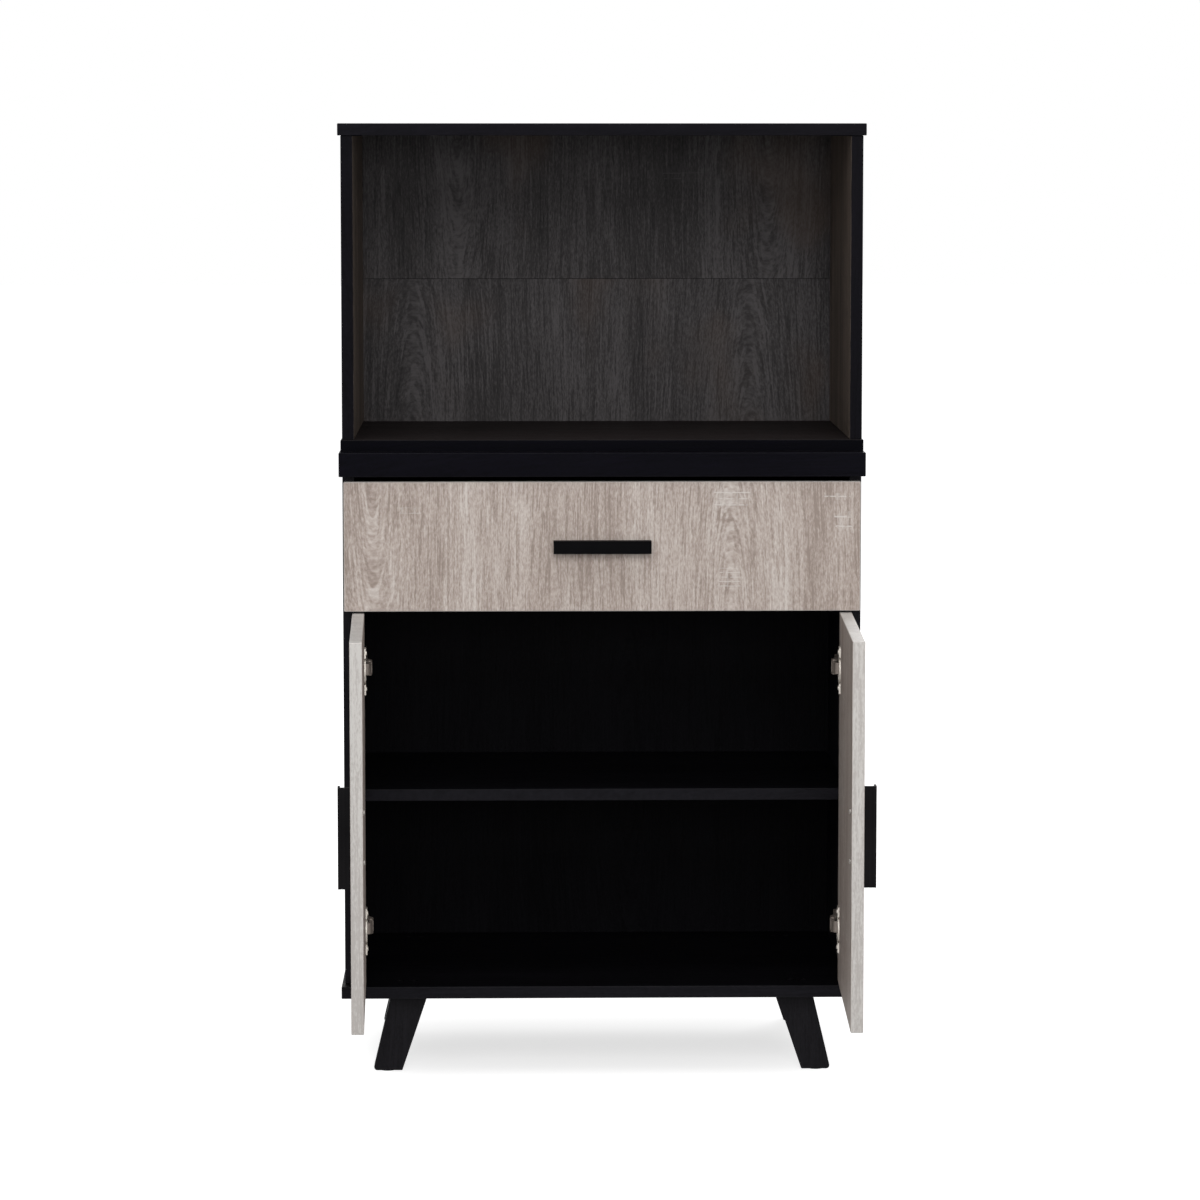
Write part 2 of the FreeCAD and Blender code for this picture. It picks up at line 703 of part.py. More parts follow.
def hinge_arm_master():
    """A channel on the side panel: X runs back from the front edges, Y off the panel, Z up."""
    body = new_body("hinge_arm_master")
    crest = "arm_pin_inset + arm_tip_radius"
    profile = [("arm_pin_depth", crest), ("arm_neck", crest), ("arm_shoulder", "arm_height"),
               ("arm_length", "arm_height"), ("arm_length", "arm_skirt"),
               ("arm_shoulder - arm_skirt", "arm_skirt"), ("arm_pin_depth", "arm_pin_inset - arm_tip_radius")]
    pad(body, outline(body, "XY_Plane", profile), "arm_width", symmetric=True)
    tip = circles(body, "XY_Plane", [("arm_pin_depth", "arm_pin_inset")], "arm_tip_radius")
    pad(body, tip, "arm_width", symmetric=True)
    under = crest + " - arm_web"
    front = "arm_pin_depth - 2 * arm_tip_radius"
    hollow = [(front, "0"), (front, "2 * arm_pin_inset"), ("arm_slot", "2 * arm_pin_inset"),
              ("arm_slot", under), ("arm_neck - arm_web / 2", under),
              ("arm_shoulder - arm_web / 2", "boss_height"), ("2 * arm_length", "boss_height"),
              ("2 * arm_length", "0")]
    pocket(body, outline(body, "XY_Plane", hollow), "arm_width - 2 * arm_cheek", symmetric=True)
    pin = circles(body, "XY_Plane", [("arm_pin_depth", "arm_pin_inset")], "pin_radius + pin_running_fit")
    pocket(body, pin, "2 * arm_width", symmetric=True)
    screw = circles(body, "XZ_Plane", [("plate_centre", "0")], "arm_screw_radius + fastener_fit")
    pocket(body, screw, "arm_height")
    return body


def hinge_plate_master():
    """A plate screwed to the side panel, with the boss that the arm rides on, in the arm's frame."""
    body = new_body("hinge_plate_master")
    half = "plate_width / 2"
    wings = rectangle(body, "XZ_Plane", ("plate_centre - " + half, "0 - plate_height / 2"),
                      ("plate_centre + " + half, "plate_height / 2"))
    ease_edges(body, pad(body, wings, "plate_thickness", flip=True), "edge_ease")
    boss = rectangle(body, "XZ_Plane", ("boss_start", "0 - boss_width / 2"), ("boss_end", "boss_width / 2"))
    pad(body, boss, "boss_height", flip=True)
    screws = [("plate_centre", "0 - plate_screw_spacing / 2"), ("plate_centre", "plate_screw_spacing / 2")]
    drill = circles(body, "XZ_Plane", screws, "hinge_screw_radius + fastener_fit")
    pocket(body, drill, "plate_thickness")
    bore = circles(body, "XZ_Plane", [("plate_centre", "0")], "arm_screw_radius + fastener_fit")
    pocket(body, bore, "boss_height")
    return body


def pin_master(label, length):
    """A hinge pin along Z, centred on the origin."""
    body = new_body(label)
    pad(body, circles(body, "XY_Plane", [("0", "0")], "pin_radius"), length, symmetric=True)
    return body


def hinges():
    """Two hinges on each side: fixed arms and plates, bent links, and cups in the doors."""
    arm, plate, link = hinge_arm_master(), hinge_plate_master(), hinge_link_master()
    cup = hinge_cup_master()
    arm_pin = pin_master("arm_pin_master", "arm_width")
    cup_pin = pin_master("cup_pin_master", "2 * cup_pin_reach")
    plate_screw = screw_master("plate_screw_master", "hinge_screw_radius", "hinge_screw_length",
                               "hinge_screw_head_radius", "hinge_screw_head")
    arm_screw = screw_master("arm_screw_master", "arm_screw_radius", "arm_screw_length",
                             "hinge_screw_head_radius", "hinge_screw_head")
    link_place, door_place = hinge_pose(size("door_open_angle"), front_y)
    heights = (size("hinge_low"), size("hinge_high"))
    off_panel = Rotation(Vector(1, 0, 0), -90)
    off_back = Rotation(Vector(1, 0, 0), -90)
    across = Rotation(Vector(1, 1, 0), 180)
    for side in ("left", "right"):
        places = {name: [] for name in ("plate", "arm", "arm_pin", "plate_screw", "arm_screw",
                                        "link", "cup", "cup_pin", "cup_screw")}
        for height in heights:
            level = Vector(0, 0, size("door_bottom") + height)
            frame = Placement(Vector(side_x("left"), front_y, 0) + level, across)
            places["plate"].append(frame)
            places["arm"].append(frame)
            pin = Vector(size("arm_pin_depth"), size("arm_pin_inset"), 0)
            places["arm_pin"].append(frame.multiply(Placement(pin, Rotation())))
            for sign in (-1, 1):
                head = Vector(size("plate_centre"), size("plate_thickness"),
                              sign * size("plate_screw_spacing") / 2)
                places["plate_screw"].append(frame.multiply(Placement(head, off_panel)))
            head = Vector(size("plate_centre"), size("arm_height"), 0)
            places["arm_screw"].append(frame.multiply(Placement(head, off_panel)))
            places["link"].append(Placement(link_place.Base + level, link_place.Rotation))
            centre = Vector(size("cup_from_edge"), 0, height)
            cup_place = door_place.multiply(Placement(centre, off_back))
            places["cup"].append(cup_place)
            pin = Vector(size("cup_pin_from_edge"), -size("cup_pin_depth"), height)
            places["cup_pin"].append(door_place.multiply(Placement(pin, Rotation())))
            for sign in (-1, 1):
                head = Vector(size("wing_shift"), sign * size("cup_screw_spacing") / 2,
                              size("flange_thickness"))
                places["cup_screw"].append(cup_place.multiply(Placement(head, Rotation())))
        masters = {"hinge_plates": (plate, "plate"), "hinge_arms": (arm, "arm"),
                   "hinge_arm_pins": (arm_pin, "arm_pin"), "hinge_plate_screws": (plate_screw, "plate_screw"),
                   "hinge_arm_screws": (arm_screw, "arm_screw"), "hinge_links": (link, "link"),
                   "hinge_cups": (cup, "cup"), "hinge_cup_pins": (cup_pin, "cup_pin"),
                   "hinge_cup_screws": (plate_screw, "cup_screw")}
        for name, (master, key) in masters.items():
            spots = [both_sides(side, place) for place in places[key]]
            group("%s_%s" % (name, side), master, spots)


# Doors


def door_panel(label):
    """A door with its back on the body's XZ plane: X from the hinge edge, Z from the bottom."""
    body = new_body(label)
    face = rectangle(body, "XZ_Plane", ("0", "0"), ("door_width", "door_height"))
    ease_edges(body, pad(body, face, "front_thickness"), "edge_ease")
    hinges_at = ("hinge_low", "hinge_high")
    cups = circles(body, "XZ_Plane", [("cup_from_edge", height) for height in hinges_at], "cup_bore_radius")
    pocket(body, cups, "cup_depth + fastener_fit", flip=True)
    screws = []
    for height in hinges_at:
        for sign in ("-", "+"):
            screws.append(("cup_from_edge + wing_shift", "%s %s cup_screw_spacing / 2" % (height, sign)))
    drill = circles(body, "XZ_Plane", screws, "hinge_screw_radius + fastener_fit")
    pocket(body, drill, "hinge_screw_length", flip=True)
    post = "door_width - handle_edge_distance - handle_face + handle_post_height"
    bolts = [(post, "door_height / 2 %s handle_screw_spacing / 2" % sign) for sign in "-+"]
    drill = circles(body, "XZ_Plane", bolts, "handle_screw_radius + fastener_fit")
    pocket(body, drill, "front_thickness", flip=True)
    return body


def doors():
    """Both doors with their upright handles; the right door is the left one turned over."""
    door_place = hinge_pose(size("door_open_angle"), front_y)[1]
    foot = Vector(size("door_width") - size("handle_edge_distance") - size("handle_face"),
                  -size("front_thickness"), size("door_height") / 2)
    handle_place = door_place.multiply(Placement(foot, Rotation(Vector(0, 1, 0), 90)))
    for side in ("left", "right"):
        keep(door_panel("door_" + side), both_sides(side, door_place))
        place = both_sides(side, handle_place)
        keep(handle_body("door_handle_" + side), place)
        group("door_handle_screws_" + side, handle_screw, handle_screw_places(place))


# Drawer


def drawer():
    """The drawer front with its handle, the box behind it and its bottom in grooves."""
    standoff = -size("front_standoff")
    body = new_body("drawer_front")
    half = "drawer_front_width / 2"
    face = rectangle(body, "XZ_Plane", ("0 - " + half, "0"), (half, "drawer_front_height"))
    ease_edges(body, pad(body, face, "front_thickness"), "edge_ease")
    low = "drawer_front_height / 2 - handle_face / 2 + handle_post_height"
    bolts = [("0 - handle_screw_spacing / 2", low), ("handle_screw_spacing / 2", low)]
    drill = circles(body, "XZ_Plane", bolts, "handle_screw_radius + fastener_fit")
    pocket(body, drill, "front_thickness", flip=True)
    keep(body, spot(0, standoff, size("drawer_front_bottom")))
    middle = size("drawer_front_bottom") + size("drawer_front_height") / 2
    place = spot(0, standoff - size("front_thickness"), middle - size("handle_face") / 2)
    keep(handle_body("drawer_handle"), place)
    group("drawer_handle_screws", handle_screw, handle_screw_places(place))
    lift = size("drawer_side_bottom")
    for side, sign in (("left", -1), ("right", 1)):
        body = new_body("drawer_side_" + side)
        face = rectangle(body, "YZ_Plane", ("0", "0"), ("drawer_box_length", "drawer_side_height"))
        board = pad(body, face, "drawer_side_thickness", flip=side == "left")
        ease_edges(body, board, "edge_ease")
        groove = rectangle(body, "YZ_Plane", ("0", "drawer_bottom_rise"),
                           ("drawer_box_length", "drawer_bottom_rise + groove_width"))
        pocket(body, groove, "groove_depth", flip=side == "right")
        keep(body, spot(sign * size("drawer_inner_width") / 2, standoff, lift))
    body = new_body("drawer_back")
    half = "drawer_inner_width / 2"
    face = rectangle(body, "XZ_Plane", ("0 - " + half, "0"), (half, "drawer_back_height"))
    pad(body, face, "drawer_side_thickness")
    rear = standoff + size("drawer_box_length")
    keep(body, spot(0, rear, lift + size("drawer_back_rise")))
    body = new_body("drawer_bottom")
    half = "drawer_bottom_width / 2"
    panel = rectangle(body, "XY_Plane", ("0 - " + half, "0"), (half, "drawer_box_length"))
    pad(body, panel, "back_thickness")
    keep(body, spot(0, standoff, lift + size("drawer_bottom_rise") + size("groove_clearance")))


def channel(label, start, end, inset, web_first):
    """A rolled runner member along Y: X off the side panel, Z up from the runner's bottom."""
    body = new_body(label)
    low, high = inset, "runner_height - (%s)" % inset
    lip_low, lip_high = low + " + runner_sheet", high + " - runner_sheet"
    if web_first:
        web = "%s + runner_sheet" % start
        section = [(end, low), (end, lip_low), (web, lip_low), (web, lip_high), (end, lip_high),
                   (end, high), (start, high), (start, low)]
    else:
        web = "%s - runner_sheet" % end
        section = [(start, low), (end, low), (end, high), (start, high), (start, lip_high),
                   (web, lip_high), (web, lip_low), (start, lip_low)]
    pad(body, outline(body, "XZ_Plane", section), "runner_length", flip=True)
    return body


def runners():
    """Three nested members on each side: outer on the cabinet, middle between, inner on the drawer."""
    members = {"outer": ("0", "runner_lip_end", "0", True),
               "middle": ("runner_middle_start", "runner_lip_end", "runner_middle_start", True),
               "inner": ("runner_inner_start", "runner_space", "runner_inner_start", False)}
    for name, shape in members.items():
        left = channel("runner_%s_left" % name, *shape)
        keep(left, spot(side_x("left"), size("runner_setback"), size("runner_bottom")))
        right = channel("runner_%s_right" % name, *shape)
        turned = Rotation(Vector(0, 0, 1), 180)
        far = size("runner_setback") + size("runner_length")
        keep(right, spot(side_x("right"), far, size("runner_bottom"), turned))


def check_and_write():
    """Stop on any failed object or bad solid, then write one file for each part."""
    doc.recompute()
    for item in doc.Objects:
        if "Invalid" in item.State or "Error" in item.State:
            raise RuntimeError("%s failed: %s" % (item.Label, item.State))
    os.makedirs("parts", exist_ok=True)
    for piece in parts:
        shape = piece.Shape
        if shape.isNull() or not shape.isValid() or not shape.Solids:
            raise RuntimeError("%s has no valid solid" % piece.Label)
        shape.exportStep("parts/%s.step" % piece.Label)


fill_sheet()
front_y = front_edge()
handle_screw = screw_master("handle_screw_master", "handle_screw_radius",
                            "front_thickness + handle_screw_bite", "handle_screw_head_radius",
                            "handle_screw_head")
base_board()
plain_boards()
sides()
backs()
shelf_pins()
legs()
hinges()
doors()
drawer()
runners()
check_and_write()
print(len(parts), "parts written, front edges at Y", round(front_y, 4))
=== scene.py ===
"""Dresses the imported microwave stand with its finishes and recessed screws, and sets up its studio."""

from __future__ import annotations

import logging
import math
from abc import ABC, abstractmethod
from dataclasses import dataclass, replace
from enum import Enum
from functools import cache, reduce

import bmesh
import bpy
from mathutils import Euler, Matrix, Vector

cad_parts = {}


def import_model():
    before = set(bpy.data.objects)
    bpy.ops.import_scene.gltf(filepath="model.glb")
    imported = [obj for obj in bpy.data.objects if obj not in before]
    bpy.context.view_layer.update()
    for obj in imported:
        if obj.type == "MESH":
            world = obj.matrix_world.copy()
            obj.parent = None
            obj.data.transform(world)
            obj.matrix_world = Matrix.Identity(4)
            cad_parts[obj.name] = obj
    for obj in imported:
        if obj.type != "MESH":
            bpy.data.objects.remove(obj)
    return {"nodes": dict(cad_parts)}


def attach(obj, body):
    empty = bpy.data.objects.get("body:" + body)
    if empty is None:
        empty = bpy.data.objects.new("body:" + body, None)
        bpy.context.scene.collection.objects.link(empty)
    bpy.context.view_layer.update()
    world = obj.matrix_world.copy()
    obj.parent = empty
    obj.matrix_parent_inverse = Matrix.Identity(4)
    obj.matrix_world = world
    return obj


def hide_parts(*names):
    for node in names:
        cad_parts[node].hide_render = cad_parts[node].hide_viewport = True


LOG = logging.getLogger("microwave_stand")
DOOR_OPENED = 88.5
WHITE = (1.0, 1.0, 1.0)
NOWHERE = (0.0, 0.0, 0.0)

Colour = tuple[float, float, float]
Triple = tuple[float, float, float]
Span = tuple[float, float]
Socket = bpy.types.NodeSocket
Tree = bpy.types.NodeTree
Material = bpy.types.Material
Fed = Socket | float | Triple
Nodes = dict[str, bpy.types.Object]


class Side(Enum):
    """Left or right of the stand, seen from the front; the value is the sign of X there."""

    LEFT = -1
    RIGHT = 1

    @property
    def word(self) -> str:
        """The side's word in the names of nodes and bodies."""
        return self.name.lower()


class GrainRun(Enum):
    """Which way a board's grain runs; the value is the turn, in degrees, that stands it upright."""

    UPRIGHT = (0.0, 0.0, 0.0)
    WIDE = (0.0, -90.0, 0.0)
    DEEP = (90.0, 0.0, 0.0)

    def turn(self, swing: float = 0.0) -> Euler:
        """The turn from the stand's frame into the frame of a board that is swung open about Z."""
        return Euler([math.radians(part) for part in (*self.value[:2], -swing)])


class Metal(Enum):
    """The plating on a fitting; the value is its colour."""

    NICKEL = (0.64, 0.60, 0.55)
    # A darker copy of the nickel for the hinge arms: painted shade.
    SHADED_NICKEL = (0.205, 0.172, 0.150)
    ZINC = (0.56, 0.58, 0.61)
    # A darker, warmer copy of the zinc for the handle screws: warm as passivated plating, darker as painted
    # shade against the white surroundings' reflection.
    WARM_SHADED_ZINC = (0.330, 0.312, 0.290)


class NodeSheet:
    """A shader node tree on which nodes are laid and joined by value."""

    def __init__(self, tree: Tree) -> None:
        """Takes the node tree of a material, a group or the world."""
        self.tree = tree

    def feed(self, socket: Socket, value: Fed) -> None:
        """Joins a socket to another one, or sets its plain value.

        Args:
            socket: The input to feed.
            value: An output socket, a number or a triple.
        """
        if isinstance(value, Socket):
            self.tree.links.new(value, socket)
        elif socket.type == "RGBA":
            socket.default_value = (*value, 1.0)
        else:
            socket.default_value = value

    def lay(self, kind: str, fed: dict[int | str, Fed] | None = None, **settings: object) -> bpy.types.Node:
        """Lays one node and feeds its inputs.

        Args:
            kind: The node's type name.
            fed: What its inputs are fed with, by number or by name.
            settings: Values of the node's own properties.

        Returns:
            The new node.
        """
        node = self.tree.nodes.new(kind)
        for name, value in settings.items():
            setattr(node, name, value)
        for key, value in (fed or {}).items():
            self.feed(node.inputs[key], value)
        return node

    def math(self, operation: str, first: Fed, second: Fed = 0.0, clamp: bool = False) -> Socket:
        """One sum by a Math node, kept between 0 and 1 if clamped."""
        node = self.lay("ShaderNodeMath", {0: first, 1: second}, operation=operation, use_clamp=clamp)
        return node.outputs[0]

    def plus(self, first: Fed, *others: Fed) -> Socket:
        """The sum of some values."""
        return reduce(lambda total, other: self.math("ADD", total, other), others, first)

    def minus(self, first: Fed, second: Fed) -> Socket:
        """The difference of two values."""
        return self.math("SUBTRACT", first, second)

    def times(self, first: Fed, second: Fed) -> Socket:
        """The product of two values."""
        return self.math("MULTIPLY", first, second)

    def swing(self, value: Fed, amount: float) -> Socket:
        """A value between 0 and 1, turned into a swing of plus or minus half the amount."""
        return self.times(self.minus(value, 0.5), amount)

    def length(self, first: Fed, second: Fed) -> Socket:
        """The length of the diagonal over two sides."""
        return self.math("SQRT", self.plus(self.times(first, first), self.times(second, second)))

    def split(self, place: Fed) -> tuple[Socket, ...]:
        """The three parts of a vector."""
        return tuple(self.lay("ShaderNodeSeparateXYZ", {0: place}).outputs)

    def join(self, across: Fed, deep: Fed, up: Fed) -> Socket:
        """A vector from its three parts."""
        return self.lay("ShaderNodeCombineXYZ", {0: across, 1: deep, 2: up}).outputs[0]

    def vector(self, operation: str, first: Fed, second: Fed) -> Socket:
        """One sum of vectors by a Vector Math node."""
        return self.lay("ShaderNodeVectorMath", {0: first, 1: second}, operation=operation).outputs[0]

    def noise(self, place: Fed, per_metre: Triple, detail: float = 2.0, roughness: float = 0.5) -> Socket:
        """Soft noise, stretched by its counts per metre.

        Args:
            place: The position to read it at.
            per_metre: How many features fit in a metre along each direction.
            detail: How many finer layers are added.
            roughness: How strong those layers are.

        Returns:
            The noise, around 0.5.
        """
        stretched = self.vector("MULTIPLY", place, per_metre)
        fed = {"Vector": stretched, "Scale": 1.0, "Detail": detail, "Roughness": roughness}
        return self.lay("ShaderNodeTexNoise", fed).outputs[0]

    def step(self, value: Fed, low: Fed, high: Fed) -> Socket:
        """A smooth step from 0 at low to 1 at high."""
        fed = {"Value": value, "From Min": low, "From Max": high}
        return self.lay("ShaderNodeMapRange", fed, interpolation_type="SMOOTHSTEP").outputs[0]

    def blend(self, factor: Fed, low: Fed, high: Fed) -> Socket:
        """The colour between two colours, the first at a factor of 0 and the second at 1."""
        return self.lay("ShaderNodeMix", {0: factor, 6: low, 7: high}, data_type="RGBA").outputs[2]

    def ramp(self, value: Fed, places: tuple[float, ...], colours: tuple[Colour, ...]) -> Socket:
        """A colour read off a row of colour stops.

        Args:
            value: Where to read, from 0 to 1.
            places: The stops' places on the row, rising.
            colours: The stops' colours.

        Returns:
            The colour there.
        """
        node = self.lay("ShaderNodeValToRGB", {0: value})
        row = node.color_ramp.elements
        while len(row) < len(places):
            row.new(0.5)
        for element, place, colour in zip(row, places, colours):
            element.position = place
            element.color = (*colour, 1.0)
        return node.outputs[0]

    def effect(self, group: Tree, values: dict[str, Fed]) -> bpy.types.NodeOutputs:
        """Places a shared effect with its inputs fed by name, and gives its outputs."""
        return self.lay("ShaderNodeGroup", values, node_tree=group).outputs


class EffectSheet(NodeSheet):
    """The tree of a shared effect, with named inputs and outputs."""

    def __init__(self, name: str, vectors: tuple[str, ...], numbers: tuple[str, ...],
                 outputs: tuple[str, ...]) -> None:
        """Makes the group and its sockets.

        Args:
            name: The group's name.
            vectors: Names of its vector inputs.
            numbers: Names of its number inputs.
            outputs: Names of its number outputs.
        """
        group = bpy.data.node_groups.new(name, "ShaderNodeTree")
        for labels, way, kind in ((vectors, "INPUT", "NodeSocketVector"),
                                  (numbers, "INPUT", "NodeSocketFloat"),
                                  (outputs, "OUTPUT", "NodeSocketFloat")):
            for label in labels:
                group.interface.new_socket(label, in_out=way, socket_type=kind)
        super().__init__(group)
        self.given = self.lay("NodeGroupInput").outputs

    def finished(self, results: dict[str, Fed]) -> Tree:
        """Feeds the outputs by name, and gives the group."""
        self.lay("NodeGroupOutput", results)
        return self.tree


class CoatSheet(NodeSheet):
    """A new material's tree, with its shader ready to be fed."""

    def __init__(self, name: str, turn: Euler | None = None) -> None:
        """Makes the material.

        Args:
            name: The material's name.
            turn: How the object's coordinates are turned for the pattern.
        """
        self.material = bpy.data.materials.new(name)
        self.material.use_nodes = True
        super().__init__(self.material.node_tree)
        self.tree.nodes.clear()
        self.shader = self.lay("ShaderNodeBsdfPrincipled")
        self.lay("ShaderNodeOutputMaterial", {"Surface": self.shader.outputs["BSDF"]})
        self.place = self.lay("ShaderNodeTexCoord").outputs["Object"]
        if turn is not None:
            mapping = self.lay("ShaderNodeMapping", {"Vector": self.place, "Rotation": tuple(turn)})
            self.place = mapping.outputs["Vector"]

    def spread(self, effect: Effect, **values: Fed) -> bpy.types.NodeOutputs:
        """Places a shared effect at the pattern's position, and gives its outputs."""
        named = {name.replace("_", " ").capitalize(): value for name, value in values.items()}
        return self.effect(effect.group(), {"Position": self.place, **named})

    def dress(self, values: dict[str, Fed]) -> None:
        """Feeds the shader's sockets by name."""
        for name, value in values.items():
            self.feed(self.shader.inputs[name], value)

    def emboss(self, height: Fed, depth: float) -> None:
        """Presses a relief of 0 to 1, and of a depth in metres, into the surface."""
        bump = self.lay("ShaderNodeBump", {"Strength": 1.0, "Distance": depth, "Height": height})
        self.dress({"Normal": bump.outputs["Normal"]})


class Effect(ABC):
    """A shared effect: its counts per metre, spans and parts as fields, and one node group."""

    @abstractmethod
    def group(self) -> Tree:
        """The node group, built once."""


@dataclass(frozen=True)
class WoodGrain(Effect):
    """Upright wood grain: broad streaks, arched growth lines, flecks that follow them and pale patches."""

    drift: Triple = (3.0, 3.0, 1.5)
    drift_swing: float = 0.030
    waver: Triple = (30.0, 30.0, 9.0)
    waver_swing: float = 0.0018
    climb: float = 0.11
    fleck_lean: float = 0.15
    unrest: Triple = (24.0, 24.0, 3.0)
    unrest_swing: float = 0.9
    crest: Span = (0.28, 0.47)
    figure_reach: Span = (0.060, 0.012)
    broad: Triple = (13.0, 13.0, 1.1)
    broad_part: float = 0.6
    narrow: Triple = (42.0, 42.0, 3.0)
    narrow_part: float = 0.4
    soft: Triple = (560.0, 560.0, 165.0)
    soft_rough: float = 0.6
    zone: Triple = (15.0, 15.0, 2.0)
    zone_span: Span = (0.36, 0.64)
    pale: Triple = (300.0, 300.0, 12.0)
    pale_start: Triple = (3.7, 0.0, 1.3)
    pale_least: float = 0.35
    pore: Triple = (340.0, 340.0, 16.0)
    pore_start: Triple = (9.1, 0.0, 5.9)
    pore_eased: float = -0.4
    line_span: Span = (0.55, 0.62)
    line_part: float = 0.22
    patch: Triple = (7.0, 7.0, 4.5)
    patch_start: Triple = (3.1, 0.0, 7.7)
    patch_span: Span = (0.50, 0.72)

    @cache
    def group(self) -> Tree:
        """Builds the effect.

        Returns:
            The node group, built once.
        """
        sheet = EffectSheet("wood_grain", ("Position",),
                            ("Figure axis", "Figure gap", "Figure rise", "Figure lean", "Ring width"),
                            ("Streak", "Ring", "Dash", "Patch"))
        place = sheet.given["Position"]
        across, deep, up = sheet.split(place)
        drift = sheet.swing(sheet.noise(place, self.drift), self.drift_swing)
        waver = sheet.swing(sheet.noise(place, self.waver, detail=1.0), self.waver_swing)
        bent = sheet.plus(across, drift, waver)
        bent_place = sheet.join(bent, deep, up)
        aside = sheet.minus(bent, sheet.given["Figure axis"])
        tile = sheet.math("PINGPONG", aside, sheet.given["Figure gap"])
        rise = sheet.plus(sheet.given["Figure rise"], sheet.times(aside, sheet.given["Figure lean"]))
        reach = sheet.length(tile, sheet.times(sheet.minus(up, rise), self.climb))
        laid = sheet.join(reach, sheet.plus(deep, sheet.times(bent, self.fleck_lean)), up)
        unrest = sheet.swing(sheet.noise(bent_place, self.unrest), self.unrest_swing)
        count = sheet.plus(sheet.math("DIVIDE", reach, sheet.given["Ring width"]), unrest)
        crest = sheet.step(sheet.math("PINGPONG", count, 0.5), *self.crest)
        broad = sheet.times(sheet.noise(bent_place, self.broad), self.broad_part)
        narrow = sheet.times(sheet.noise(bent_place, self.narrow), self.narrow_part)
        soft = sheet.noise(laid, self.soft, roughness=self.soft_rough)
        zone = sheet.step(sheet.noise(laid, self.zone), *self.zone_span)
        pale, pore = (
            sheet.step(sheet.noise(sheet.vector("ADD", laid, start), counts, detail=1.0), *self.line_span)
            for start, counts in ((self.pale_start, self.pale), (self.pore_start, self.pore)))
        pale = sheet.times(pale, sheet.plus(self.pale_least, sheet.times(zone, 1.0 - self.pale_least)))
        lines = sheet.minus(pale, sheet.times(pore, sheet.plus(1.0, sheet.times(zone, self.pore_eased))))
        patch = sheet.noise(sheet.vector("ADD", place, self.patch_start), self.patch)
        return sheet.finished({
            "Streak": sheet.plus(broad, narrow),
            "Ring": sheet.times(crest, sheet.step(tile, *self.figure_reach)),
            "Dash": sheet.plus(0.5, sheet.swing(soft, 1.0), sheet.times(lines, self.line_part)),
            "Patch": sheet.step(patch, *self.patch_span)})


@dataclass(frozen=True)
class SawTicks(Effect):
    """A cluster of short pale saw marks that cross the grain, with a comb of pale lines among them."""

    ragged: Triple = (45.0, 45.0, 190.0)
    ragged_swing: float = 1.1
    wide_span: Span = (1.0, 0.8)
    tall_span: Span = (1.0, 0.9)
    lean: Triple = (7.0, 7.0, 7.0)
    lean_reach: float = 0.012
    line_span: Span = (0.38, 0.46)
    broken: Triple = (120.0, 120.0, 300.0)
    broken_span: Span = (0.36, 0.46)
    comb: Triple = (300.0, 300.0, 45.0)
    comb_span: Span = (0.53, 0.63)
    comb_part: float = 0.35

    @cache
    def group(self) -> Tree:
        """Builds the effect.

        Returns:
            The node group, built once.
        """
        sheet = EffectSheet("saw_ticks", ("Position", "Centre", "Reach"), ("Pitch",), ("Tick",))
        place = sheet.given["Position"]
        from_centre = sheet.vector("SUBTRACT", place, sheet.given["Centre"])
        across, _, up = sheet.split(sheet.vector("DIVIDE", from_centre, sheet.given["Reach"]))
        ragged = sheet.swing(sheet.noise(place, self.ragged, detail=1.0), self.ragged_swing)
        wide = sheet.step(sheet.plus(sheet.math("ABSOLUTE", across), ragged), *self.wide_span)
        tall = sheet.step(sheet.math("ABSOLUTE", up), *self.tall_span)
        lean = sheet.times(sheet.noise(place, self.lean, detail=0.0), self.lean_reach)
        rows = sheet.math("DIVIDE", sheet.plus(sheet.split(place)[2], lean), sheet.given["Pitch"])
        line = sheet.step(sheet.math("PINGPONG", rows, 0.5), *self.line_span)
        broken = sheet.step(sheet.noise(place, self.broken, detail=1.0), *self.broken_span)
        comb = sheet.step(sheet.noise(place, self.comb, detail=1.0), *self.comb_span)
        marks = sheet.math("MAXIMUM", sheet.times(line, broken), sheet.times(comb, self.comb_part))
        return sheet.finished({"Tick": sheet.times(sheet.times(wide, tall), marks)})


@dataclass(frozen=True)
class BoardEdges(Effect):
    """Masks for a board's arrises, which take a painted highlight, and its banded edges, from its own box."""

    arris_waver: Triple = (140.0, 140.0, 140.0)
    arris_waver_swing: float = 0.0012
    sharp: float = 0.0002
    band_span: Span = (0.0002, 0.0005)

    @cache
    def group(self) -> Tree:
        """Builds the effect.

        Returns:
            The node group, built once.
        """
        sheet = EffectSheet("board_edges", ("Position", "Low", "High"), ("Width",), ("Arris", "Band"))
        place = sheet.given["Position"]
        to_low = sheet.vector("SUBTRACT", place, sheet.given["Low"])
        to_high = sheet.vector("SUBTRACT", sheet.given["High"], place)
        across, deep, up = sheet.split(sheet.vector("MINIMUM", to_low, to_high))
        nearest = sheet.math("MINIMUM", across, deep)
        farther = sheet.math("MAXIMUM", across, deep)
        second = sheet.math("MAXIMUM", nearest, sheet.math("MINIMUM", farther, up))
        # A waver on the width of the arris mask, which carries a painted highlight.
        arris_waver = sheet.swing(sheet.noise(place, self.arris_waver), self.arris_waver_swing)
        return sheet.finished({
            "Arris": sheet.step(sheet.plus(second, arris_waver), sheet.given["Width"], self.sharp),
            "Band": sheet.step(deep, *self.band_span)})


